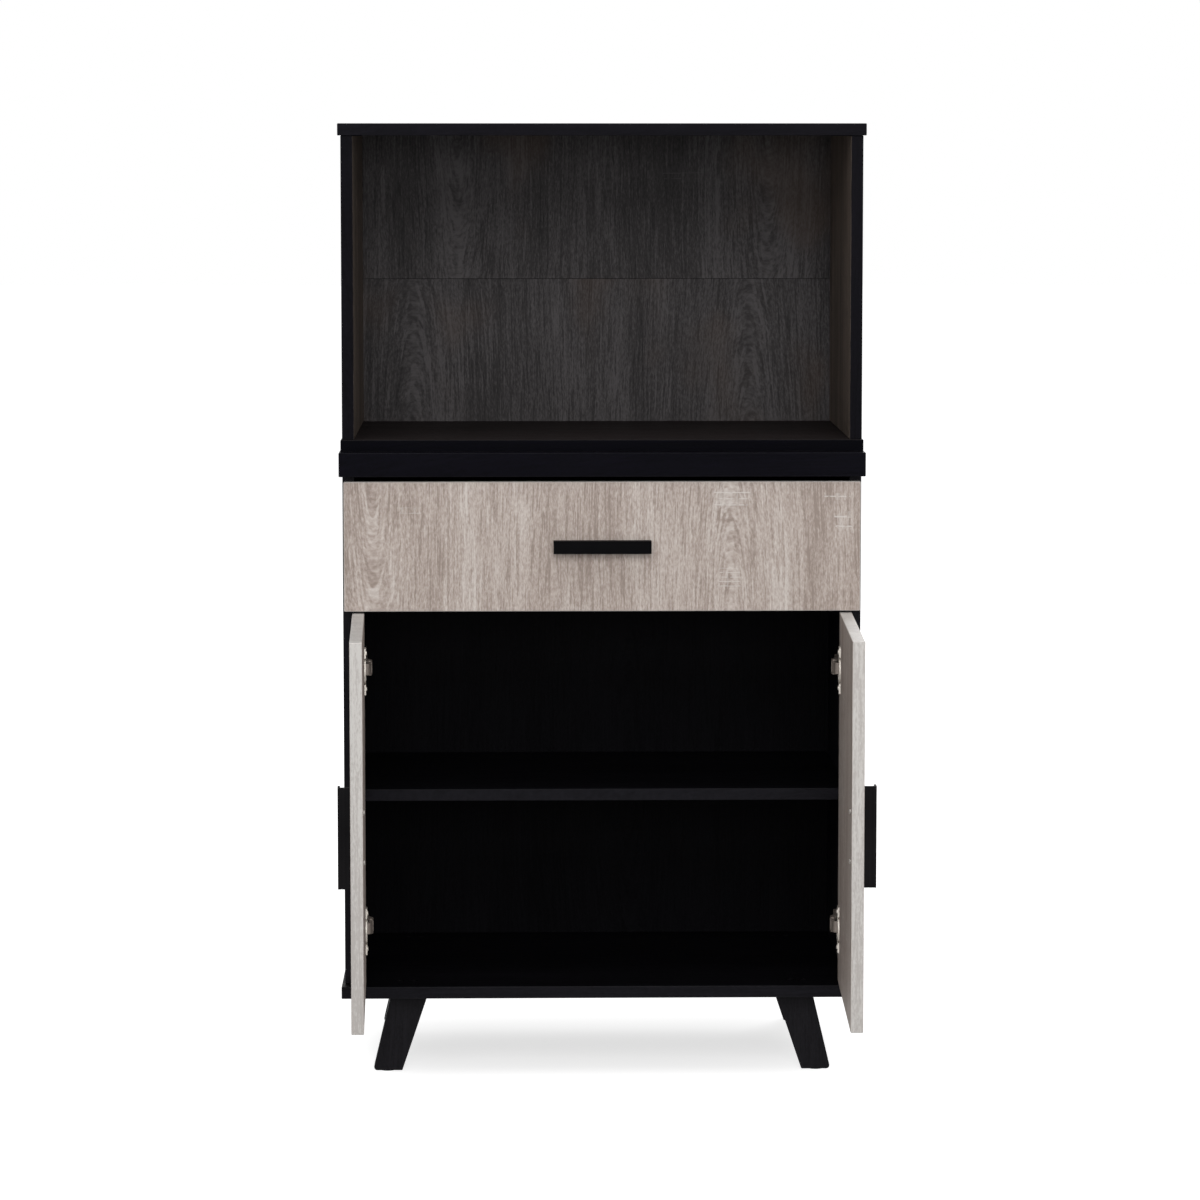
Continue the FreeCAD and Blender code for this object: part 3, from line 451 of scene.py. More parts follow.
@dataclass(frozen=True)
class Handling(Effect):
    """Soft smudges and fine specks from handling."""

    cloud: Triple = (6.0, 6.0, 6.0)
    cloud_rough: float = 0.6
    cloud_part: float = 0.65
    wipe: Triple = (38.0, 38.0, 15.0)
    wipe_part: float = 0.35
    speck: Triple = (900.0, 900.0, 900.0)
    speck_span: Span = (0.70, 0.80)

    @cache
    def group(self) -> Tree:
        """Builds the effect.

        Returns:
            The node group, built once.
        """
        sheet = EffectSheet("handling", ("Position",), (), ("Smudge", "Speck"))
        place = sheet.given["Position"]
        cloud = sheet.noise(place, self.cloud, detail=3.0, roughness=self.cloud_rough)
        wipe = sheet.noise(place, self.wipe)
        return sheet.finished({
            "Smudge": sheet.plus(sheet.times(cloud, self.cloud_part), sheet.times(wipe, self.wipe_part)),
            "Speck": sheet.step(sheet.noise(place, self.speck, detail=0.0), *self.speck_span)})


@dataclass(frozen=True)
class Stipple(Effect):
    """The fine grain of powder coat, lacquer and moulded plastic."""

    coarse: Triple = (1.0, 1.0, 1.0)
    coarse_part: float = 0.6
    fine: Triple = (2.7, 2.7, 2.7)
    fine_part: float = 0.4

    @cache
    def group(self) -> Tree:
        """Builds the effect.

        Returns:
            The node group, built once.
        """
        sheet = EffectSheet("stipple", ("Position",), ("Grains per metre",), ("Grain",))
        every_way = sheet.join(*([sheet.given["Grains per metre"]] * 3))
        scaled = sheet.vector("MULTIPLY", sheet.given["Position"], every_way)
        coarse = sheet.times(sheet.noise(scaled, self.coarse, detail=1.0), self.coarse_part)
        fine = sheet.times(sheet.noise(scaled, self.fine, detail=0.0), self.fine_part)
        return sheet.finished({"Grain": sheet.plus(coarse, fine)})


@dataclass(frozen=True)
class RolledLines(Effect):
    """Fine drawn lines and soft bloom on plated sheet steel."""

    line: Triple = (2600.0, 2600.0, 60.0)
    bloom: Triple = (160.0, 160.0, 110.0)

    @cache
    def group(self) -> Tree:
        """Builds the effect.

        Returns:
            The node group, built once.
        """
        sheet = EffectSheet("rolled_lines", ("Position",), (), ("Line", "Bloom"))
        place = sheet.given["Position"]
        return sheet.finished({"Line": sheet.noise(place, self.line, detail=1.0),
                               "Bloom": sheet.noise(place, self.bloom)})


@dataclass(frozen=True)
class PressedFibre(Effect):
    """The flecks and the screen print on the raw side of hardboard."""

    strand: Triple = (330.0, 330.0, 210.0)
    strand_rough: float = 0.65
    strand_part: float = 0.7
    cloud: Triple = (17.0, 17.0, 17.0)
    cloud_part: float = 0.3
    mesh: float = 3300.0

    @cache
    def group(self) -> Tree:
        """Builds the effect.

        Returns:
            The node group, built once.
        """
        sheet = EffectSheet("pressed_fibre", ("Position",), (), ("Fleck", "Screen"))
        place = sheet.given["Position"]
        across, _, up = sheet.split(place)
        strand = sheet.noise(place, self.strand, detail=3.0, roughness=self.strand_rough)
        cloud = sheet.noise(place, self.cloud)
        weft, warp = (sheet.math("SINE", sheet.times(way, self.mesh)) for way in (across, up))
        return sheet.finished({
            "Fleck": sheet.plus(sheet.times(strand, self.strand_part), sheet.times(cloud, self.cloud_part)),
            "Screen": sheet.plus(sheet.times(sheet.times(weft, warp), 0.5), 0.5)})


@dataclass(frozen=True)
class Panel:
    """A board of the frame, and the turn that brings its grain upright and its face forward.

    Attributes:
        node: The board's node.
        run: Which way its grain runs.
        swing: How far it is swung open about Z, in degrees.
    """

    node: str
    run: GrainRun = GrainRun.UPRIGHT
    swing: float = 0.0

    def turn(self) -> Euler:
        """The turn from the stand's frame into the board's own."""
        return self.run.turn(self.swing)

    def box(self, nodes: Nodes) -> tuple[Triple, Triple]:
        """Measures the board in its own frame.

        Args:
            nodes: The frame's nodes.

        Returns:
            Its lowest and its highest corner.
        """
        turn = self.turn().to_matrix()
        points = [turn @ vertex.co for vertex in nodes[self.node].data.vertices]
        low = tuple(min(point[part] for point in points) for part in range(3))
        high = tuple(max(point[part] for point in points) for part in range(3))
        return low, high


@dataclass(frozen=True)
class TickPatch:
    """A cluster of saw marks on a front, in the board's own frame, in metres."""

    centre: Triple
    reach: Triple
    pitch: float

    def moved(self, middle: float, sign: int = 1) -> TickPatch:
        """The same cluster, set off sideways from a middle line, and mirrored for a sign of -1."""
        across, deep, up = self.centre
        return replace(self, centre=(middle + across * sign, deep, up))


@dataclass(frozen=True)
class Figure:
    """Where a front's arched figure and its saw marks lie, in the board's own frame, in metres."""

    axis: float
    gap: float
    rise: float
    ticks: tuple[TickPatch, ...] = ()
    lean: float = 0.0

    def grain(self, sheet: CoatSheet, ring_width: float, start: Triple = NOWHERE) -> bpy.types.NodeOutputs:
        """Places the wood grain with this figure in it.

        Args:
            sheet: The material's sheet.
            ring_width: How far apart the growth lines lie, in metres.
            start: How far the pattern is moved before it is read, in metres.

        Returns:
            The grain's outputs.
        """
        return sheet.effect(WoodGrain().group(), {
            "Position": sheet.vector("ADD", sheet.place, start), "Figure axis": self.axis + start[0],
            "Figure gap": self.gap, "Figure rise": self.rise + start[2], "Figure lean": self.lean,
            "Ring width": ring_width})

    def marked(self, sheet: CoatSheet, colour: Socket, pale: Colour, part: float) -> Socket:
        """Lays the saw marks over a colour.

        Args:
            sheet: The material's sheet.
            colour: The colour without them.
            pale: The marks' own colour.
            part: How much of it shows.

        Returns:
            The marked colour.
        """
        for patch in self.ticks:
            tick = sheet.spread(SawTicks(), centre=patch.centre, reach=patch.reach, pitch=patch.pitch)
            colour = sheet.blend(sheet.times(tick["Tick"], part), colour, pale)
        return colour


@dataclass(frozen=True)
class GrainTone:
    """How strongly each part of the wood grain shades a facing."""

    base: float
    streak: float
    ring: float
    dash: float

    def mixed(self, sheet: CoatSheet, grain: bpy.types.NodeOutputs) -> Socket:
        """The sum of the parts, from dark at 0 to light at 1."""
        return sheet.plus(self.base, sheet.swing(grain["Streak"], self.streak),
                          sheet.times(grain["Ring"], self.ring), sheet.swing(grain["Dash"], self.dash))


@dataclass(frozen=True)
class SawnOak:
    """Pale sawn-oak facing with upright grain, arched figure, saw marks and paler banded edges."""

    dark: Colour = (0.275, 0.219, 0.188)
    middle: Colour = (0.432, 0.364, 0.326)
    light: Colour = (0.585, 0.535, 0.497)
    # Pale limed colour of the grain and the saw marks; it also paints a highlight on the arrises.
    limed_and_highlight: Colour = (0.610, 0.575, 0.545)
    band: Colour = (0.575, 0.553, 0.527)
    band_low: Colour = (0.448, 0.419, 0.397)
    band_span: Span = (0.28, 0.66)
    ring_width: float = 0.0056
    tone: GrainTone = GrainTone(0.48, streak=1.15, ring=0.10, dash=0.95)
    stops: Triple = (0.20, 0.50, 0.80)
    lime_span: Span = (0.30, 0.75)
    lime_part: float = 0.55
    tick_part: float = 0.78
    arris_highlight_width: float = 0.0017
    arris_highlight_part: float = 0.55
    rough: float = 0.50
    smudge_rough: float = 0.12
    dash_rough: float = 0.20
    specular: float = 0.30
    relief: float = 0.00016
    ring_relief: float = 0.15

    def material(self, panel: Panel, nodes: Nodes, figure: Figure) -> Material:
        """Makes the facing of one front.

        Args:
            panel: The front.
            nodes: The frame's nodes.
            figure: Where its figure and saw marks lie.

        Returns:
            The material.
        """
        sheet = CoatSheet("sawn_oak_" + panel.node, panel.turn())
        low, high = panel.box(nodes)
        grain = figure.grain(sheet, self.ring_width)
        edges = sheet.spread(BoardEdges(), low=low, high=high, width=self.arris_highlight_width)
        marks = sheet.spread(Handling())
        tone = self.tone.mixed(sheet, grain)
        colour = sheet.ramp(tone, self.stops, (self.dark, self.middle, self.light))
        lime = sheet.times(grain["Patch"], sheet.step(grain["Dash"], *self.lime_span))
        colour = sheet.blend(sheet.times(lime, self.lime_part), colour, self.limed_and_highlight)
        colour = figure.marked(sheet, colour, self.limed_and_highlight, self.tick_part)
        striped = sheet.blend(sheet.step(tone, *self.band_span), self.band_low, self.band)
        colour = sheet.blend(edges["Band"], colour, striped)
        # The arrises are lightened toward the pale oak: a painted highlight.
        colour = sheet.blend(sheet.times(edges["Arris"], self.arris_highlight_part), colour, self.limed_and_highlight)
        rough = sheet.plus(self.rough, sheet.swing(marks["Smudge"], self.smudge_rough),
                           sheet.swing(grain["Dash"], self.dash_rough))
        sheet.dress({"Base Color": colour, "Specular IOR Level": self.specular, "Roughness": rough})
        sheet.emboss(sheet.plus(grain["Dash"], sheet.times(grain["Ring"], self.ring_relief)), self.relief)
        return sheet.material


@dataclass(frozen=True)
class BlackBoard:
    """Satin black facing with a faint pore grain, on boards, edges and legs."""

    low: Colour = (0.0040, 0.0038, 0.0052)
    high: Colour = (0.0098, 0.0092, 0.0122)
    # The paler black on the arrises: a painted highlight.
    arris: Colour = (0.0160, 0.0155, 0.0180)
    arris_highlight_width: float = 0.0014
    arris_highlight_part: float = 0.5
    lining: Colour = (0.1750, 0.1390, 0.1160)
    lining_low: Colour = (0.0388, 0.0310, 0.0262)
    lining_span: Span = (0.1, 0.9)
    lining_edge: Span = (0.0005, 0.0002)
    flat_low: Colour | None = None
    flat_high: Colour | None = None
    flat_edge: Span = (0.0002, 0.0006)
    figure: Figure = Figure(0.05, 0.21, 0.3)
    ring_width: float = 0.009
    tone: GrainTone = GrainTone(0.5, streak=1.2, ring=0.0, dash=1.1)
    stops: Span = (0.15, 0.85)
    rough: float = 0.46
    smudge_rough: float = 0.22
    dash_rough: float = 0.24
    speck_rough: float = 0.06
    specular: float = 0.05
    relief: float = 0.00010

    def material(self, panel: Panel, nodes: Nodes, lined_within: float = 0.0) -> Material:
        """Makes the facing of one board, whose flat faces may differ from its front edge.

        Args:
            panel: The board.
            nodes: The frame's nodes.
            lined_within: How far from the middle the brown lining begins, in metres, or 0 for none.

        Returns:
            The material.
        """
        sheet = CoatSheet("black_board_" + panel.node, panel.turn())
        across, deep, _ = sheet.split(sheet.place)
        low, high = panel.box(nodes)
        grain = self.figure.grain(sheet, self.ring_width)
        edges = sheet.spread(BoardEdges(), low=low, high=high, width=self.arris_highlight_width)
        marks = sheet.spread(Handling())
        dash = grain["Dash"]
        tone = self.tone.mixed(sheet, grain)
        colour = sheet.ramp(tone, self.stops, (self.low, self.high))
        if self.flat_low:
            flat = sheet.ramp(tone, self.stops, (self.flat_low, self.flat_high))
            behind_edge = sheet.step(deep, *(low[1] + part for part in self.flat_edge))
            colour = sheet.blend(behind_edge, colour, flat)
        if lined_within:
            aside = sheet.math("ABSOLUTE", across)
            inner = sheet.step(aside, *(lined_within + part for part in self.lining_edge))
            brown = sheet.blend(sheet.step(tone, *self.lining_span), self.lining_low, self.lining)
            colour = sheet.blend(inner, colour, brown)
        # The arrises are lightened: a painted highlight.
        colour = sheet.blend(sheet.times(edges["Arris"], self.arris_highlight_part), colour, self.arris)
        rough = sheet.plus(self.rough, sheet.swing(marks["Smudge"], self.smudge_rough),
                           sheet.swing(dash, self.dash_rough), sheet.times(marks["Speck"], self.speck_rough))
        sheet.dress({"Base Color": colour, "Specular IOR Level": self.specular, "Roughness": rough})
        sheet.emboss(dash, self.relief)
        return sheet.material


@dataclass(frozen=True)
class DarkOak:
    """Dark brown-black oak facing of the hutch's back, with raw hardboard behind it."""

    dark: Colour = (0.0100, 0.0093, 0.0096)
    middle: Colour = (0.0205, 0.0188, 0.0192)
    light: Colour = (0.0430, 0.0398, 0.0408)
    warm: Colour = (0.0430, 0.0290, 0.0215)
    warm_part: float = 0.40
    gain: float = 1.72
    black_low: Colour = (0.0014, 0.0013, 0.0019)
    black_high: Colour = (0.0042, 0.0040, 0.0051)
    black_span: Span = (0.1, 0.9)
    raw: Colour = (0.150, 0.092, 0.055)
    raw_dark: Colour = (0.070, 0.042, 0.026)
    raw_edge: Span = (0.0008, 0.0004)
    tone: GrainTone = GrainTone(0.58, streak=1.00, ring=-0.06, dash=0.80)
    stops: Triple = (0.20, 0.50, 0.80)
    tick_part: float = 0.40
    ring_width: float = 0.0070
    start: Triple = NOWHERE
    rough: float = 0.50
    smudge_rough: float = 0.16
    raw_rough: float = 0.25
    specular: float = 0.05
    relief: float = 0.00018
    screen_part: float = 0.6

    def lit(self, colour: Colour) -> Colour:
        """A colour of the face, scaled by the panel's gain: its tone, raised on the upper half as painted
        light against the shade there.
        """
        return tuple(part * self.gain for part in colour)

    def material(self, panel: Panel, nodes: Nodes, figure: Figure, black: bool = False) -> Material:
        """Makes the facing of one back panel.

        Args:
            panel: The back panel.
            nodes: The frame's nodes.
            figure: Where its figure and saw marks lie.
            black: Whether the face is plain black in place of dark oak.

        Returns:
            The material.
        """
        sheet = CoatSheet("dark_back_" + panel.node, panel.turn())
        rear_plane = panel.box(nodes)[1][1]
        grain = figure.grain(sheet, self.ring_width, self.start)
        fibre = sheet.spread(PressedFibre())
        marks = sheet.spread(Handling())
        tone = self.tone.mixed(sheet, grain)
        if black:
            face = sheet.blend(sheet.step(tone, *self.black_span), self.black_low, self.black_high)
        else:
            shades = tuple(self.lit(colour) for colour in (self.dark, self.middle, self.light))
            face = sheet.ramp(tone, self.stops, shades)
            face = sheet.blend(sheet.times(grain["Patch"], self.warm_part), face, self.lit(self.warm))
            face = figure.marked(sheet, face, self.lit(self.light), self.tick_part)
        rear = sheet.blend(fibre["Fleck"], self.raw_dark, self.raw)
        behind = sheet.step(sheet.split(sheet.place)[1], *(rear_plane - part for part in self.raw_edge))
        rough = sheet.plus(self.rough, sheet.swing(marks["Smudge"], self.smudge_rough),
                           sheet.times(behind, self.raw_rough))
        sheet.dress({"Base Color": sheet.blend(behind, face, rear), "Specular IOR Level": self.specular,
                     "Roughness": rough})
        front_relief = sheet.times(grain["Dash"], sheet.minus(1.0, behind))
        screen = sheet.times(fibre["Screen"], self.screen_part)
        rear_relief = sheet.times(sheet.plus(screen, fibre["Fleck"]), behind)
        sheet.emboss(sheet.plus(front_relief, rear_relief), self.relief)
        return sheet.material


@dataclass(frozen=True)
class BlackCoat:
    """Matt black powder coat, lacquer or moulded plastic with a fine grain."""

    name: str
    base: Colour = (0.0020, 0.0019, 0.0024)
    worn: Colour = (0.0056, 0.0054, 0.0062)
    worn_span: Span = (0.30, 0.75)
    worn_part: float = 0.6
    grains: float = 1400.0
    grain_swing: float = 0.8
    rough: float = 0.46
    smudge_rough: float = 0.25
    speck_rough: float = 0.08
    specular: float = 0.016
    relief: float = 0.00006

    def material(self) -> Material:
        """Makes the coat.

        Returns:
            The material.
        """
        sheet = CoatSheet(self.name)
        grain = sheet.spread(Stipple(), grains_per_metre=self.grains)["Grain"]
        marks = sheet.spread(Handling())
        tone = sheet.plus(sheet.step(marks["Smudge"], *self.worn_span), sheet.swing(grain, self.grain_swing))
        colour = sheet.blend(sheet.math("MULTIPLY", tone, self.worn_part, clamp=True), self.base, self.worn)
        rough = sheet.plus(self.rough, sheet.swing(marks["Smudge"], self.smudge_rough),
                           sheet.times(marks["Speck"], self.speck_rough))
        sheet.dress({"Base Color": colour, "Specular IOR Level": self.specular, "Roughness": rough})
        sheet.emboss(grain, self.relief)
        return sheet.material


@dataclass(frozen=True)
class PlatedSteel:
    """Plated sheet steel with drawn lines, soft bloom and handling smudges."""

    metal: Metal
    run: GrainRun = GrainRun.UPRIGHT
    metallic: float = 1.0
    shaded_part: float = 0.80
    bloom_span: Span = (0.25, 0.75)
    rough: float = 0.55
    smudge_rough: float = 0.20
    line_rough: float = 0.22
    bloom_rough: float = 0.12
    relief: float = 0.00001

    def material(self) -> Material:
        """Makes the plating.

        Returns:
            The material.
        """
        name = "_".join((self.metal.name.lower(), "plate", self.run.name.lower()))
        sheet = CoatSheet(name, self.run.turn())
        lines = sheet.spread(RolledLines())
        marks = sheet.spread(Handling())
        shaded = tuple(part * self.shaded_part for part in self.metal.value)
        colour = sheet.blend(sheet.step(lines["Bloom"], *self.bloom_span), shaded, self.metal.value)
        rough = sheet.plus(self.rough, sheet.swing(marks["Smudge"], self.smudge_rough),
                           sheet.swing(lines["Line"], self.line_rough),
                           sheet.swing(lines["Bloom"], self.bloom_rough))
        sheet.dress({"Base Color": colour, "Metallic": self.metallic, "Roughness": rough})
        sheet.emboss(lines["Line"], self.relief)
        return sheet.material


def coat(node: bpy.types.Object, material: Material) -> None:
    """Gives a node of the frame its finish.

    Args:
        node: The node.
        material: Its finish.
    """
    for slot in node.material_slots:
        slot.material = material
    LOG.info("%s takes %s", node.name, material.name)


@dataclass
class Carcass:
    """The base cabinet: boards, sides, back, counter and shelf."""

    nodes: Nodes
    facing: BlackBoard = BlackBoard()
    # Darker than the sides' black: painted shade.
    counter_facing: BlackBoard = BlackBoard(low=(0.0011, 0.0010, 0.0022), high=(0.0032, 0.0029, 0.0054),
                                            specular=0.022)
    # The flat faces behind the front edge, inside the cupboard and under it, are far darker than the edge:
    # painted shade.
    shelf_facing: BlackBoard = BlackBoard(low=(0.0036, 0.0034, 0.0048), high=(0.0088, 0.0083, 0.0110),
                                          flat_low=(0.0010, 0.0009, 0.0013),
                                          flat_high=(0.0030, 0.0028, 0.0038))
    backing: DarkOak = DarkOak(specular=0.02)
    back_figure: Figure = Figure(0.05, 0.25, 0.4)

    def dress(self) -> None:
        """Faces every board and the back."""
        for name, facing in (("base_board", self.shelf_facing), ("drawer_rail", self.shelf_facing),
                             ("shelf", self.shelf_facing), ("counter", self.counter_facing)):
            coat(self.nodes[name], facing.material(Panel(name, GrainRun.WIDE), self.nodes))
        for side in Side:
            name = "base_side_" + side.word
            coat(self.nodes[name], self.facing.material(Panel(name), self.nodes))
        back = self.backing.material(Panel("base_back"), self.nodes, self.back_figure, black=True)
        coat(self.nodes["base_back"], back)


@dataclass
class Hutch:
    """The open bay on the counter: floor, sides, top and a back in two taped halves."""

    nodes: Nodes
    # Darker than the base's black, to offset the lamps lighting the hutch more: painted shade.
    facing: BlackBoard = BlackBoard(low=(0.0022, 0.0020, 0.0031), high=(0.0058, 0.0053, 0.0076),
                                    specular=0.022)
    # The front edge is set darker than the other boards' edges: painted shade. The top face takes its own
    # brown tones.
    floor_facing: BlackBoard = BlackBoard(low=(0.0006, 0.0006, 0.0014), high=(0.0018, 0.0017, 0.0034),
                                          flat_low=(0.0086, 0.0068, 0.0068),
                                          flat_high=(0.0215, 0.0174, 0.0172), specular=0.016)
    # Paler than the hutch sides' black: painted light.
    roof_facing: BlackBoard = BlackBoard(low=(0.0032, 0.0029, 0.0044), high=(0.0078, 0.0072, 0.0100),
                                         specular=0.022)
    lower_backing: DarkOak = DarkOak()
    lower_figure: Figure = Figure(-0.26, 0.24, 0.70, (
        TickPatch((-0.265, 0.356, 0.968), (0.022, 1.0, 0.006), 0.009),))
    # The upper half's colours are raised above the lower half's: painted light against the shade the hutch
    # top casts there.
    upper_backing: DarkOak = DarkOak(gain=1.80, start=(0.71, 0.0, 0.43))
    upper_figure: Figure = Figure(-0.20, 0.22, 1.32, (
        TickPatch((0.12, 0.356, 1.20), (0.030, 1.0, 0.008), 0.008),))
    tape: BlackCoat = BlackCoat("seam_tape", grains=900.0, rough=0.55)
    inner_half: float = 0.330

    def dress(self) -> None:
        """Faces the boards, lines the sides, faces the two backs and blacks the tape behind their seam."""
        for name, facing in (("hutch_floor", self.floor_facing), ("hutch_top", self.roof_facing)):
            coat(self.nodes[name], facing.material(Panel(name, GrainRun.WIDE), self.nodes))
        for side in Side:
            name = "hutch_side_" + side.word
            coat(self.nodes[name], self.facing.material(Panel(name), self.nodes, self.inner_half))
        for name, backing, figure in (("hutch_back_upper", self.upper_backing, self.upper_figure),
                                      ("hutch_back_lower", self.lower_backing, self.lower_figure)):
            coat(self.nodes[name], backing.material(Panel(name), self.nodes, figure))
        coat(self.nodes["hutch_back_tape"], self.tape.material())


@dataclass
class Legs:
    """The four splayed legs and the glides under them."""

    nodes: Nodes
    lacquer: BlackBoard = BlackBoard(low=(0.0055, 0.0052, 0.0062), high=(0.0120, 0.0113, 0.0135), rough=0.42)
    glide: BlackCoat = BlackCoat("glide_plastic", base=(0.012, 0.012, 0.0125), worn=(0.030, 0.030, 0.031),
                                 grains=1900.0, rough=0.58)

    def dress(self) -> None:
        """Lacquers the legs and moulds the glides."""
        for row in ("front", "rear"):
            for side in Side:
                name = "_".join(("leg", row, side.word))
                coat(self.nodes[name], self.lacquer.material(Panel(name), self.nodes))
        coat(self.nodes["leg_glides"], self.glide.material())


@dataclass
class Drawer:
    """The drawer: its oak front, its box, its handle and its runners."""

    nodes: Nodes
    handle_coat: Material
    runner_plate: Material
    oak: SawnOak = SawnOak()
    facing: BlackBoard = BlackBoard()
    figure: Figure = Figure(0.175, 0.239, 0.560, lean=-0.66, ticks=(
        TickPatch((0.172, 0.0, 0.7795), (0.024, 1.0, 0.0125), 0.0085),
        TickPatch((0.168, 0.0, 0.6700), (0.016, 1.0, 0.0150), 0.0062),
        TickPatch((0.314, 0.0, 0.7800), (0.020, 1.0, 0.0050), 0.0090),
        TickPatch((0.321, 0.0, 0.7470), (0.012, 1.0, 0.0140), 0.0130),
        TickPatch((-0.255, 0.0, 0.7620), (0.016, 1.0, 0.0040), 0.0080)))

    def dress(self) -> None:
        """Faces the front and the box, and coats the handle and the runners."""
        coat(self.nodes["drawer_front"], self.oak.material(Panel("drawer_front"), self.nodes, self.figure))
        for side in Side:
            name = "drawer_side_" + side.word
            coat(self.nodes[name], self.facing.material(Panel(name, GrainRun.DEEP), self.nodes))
            for member in ("outer", "middle", "inner"):
                coat(self.nodes["_".join(("runner", member, side.word))], self.runner_plate)
        for name in ("drawer_back", "drawer_bottom"):
            coat(self.nodes[name], self.facing.material(Panel(name, GrainRun.WIDE), self.nodes))
        coat(self.nodes["drawer_handle"], self.handle_coat)


@dataclass
class Door:
    """One door that stands open: its oak panel, its handle and its two concealed hinges."""

    nodes: Nodes
    side: Side
    handle_coat: Material
    cup_plate: Material
    arm_plate: Material
    oak: SawnOak = SawnOak()
    figure_gap: float = 0.22
    figure_aside: float = 0.03
    left_rise: float = 0.12
    right_rise: float = 0.66
    upper_marks: TickPatch = TickPatch((0.06, 0.0, 0.515), (0.026, 1.0, 0.012), 0.0085)
    lower_marks: TickPatch = TickPatch((-0.05, 0.0, 0.235), (0.018, 1.0, 0.014), 0.0065)

    @property
    def panel(self) -> Panel:
        """The door's panel, swung open."""
        return Panel("door_" + self.side.word, swing=DOOR_OPENED * self.side.value)

    def figure(self) -> Figure:
        """Places the figure and the saw marks.

        Returns:
            The figure, in the door's own frame.
        """
        low, high = self.panel.box(self.nodes)
        middle = (low[0] + high[0]) / 2
        axis = middle + self.figure_aside * self.side.value
        rise = self.left_rise if self.side is Side.LEFT else self.right_rise
        ticks = (self.upper_marks.moved(middle, self.side.value), self.lower_marks.moved(middle))
        return Figure(axis, self.figure_gap, rise, ticks)

    def dress(self) -> None:
        """Faces the panel, coats the handle and plates the hinges."""
        coat(self.nodes[self.panel.node], self.oak.material(self.panel, self.nodes, self.figure()))
        coat(self.nodes["door_handle_" + self.side.word], self.handle_coat)
        for parts, plate in ((("cups", "cup_pins", "plates"), self.cup_plate),
                             (("arms", "arm_pins", "links"), self.arm_plate)):
            for part in parts:
                coat(self.nodes["_".join(("hinge", part, self.side.word))], plate)


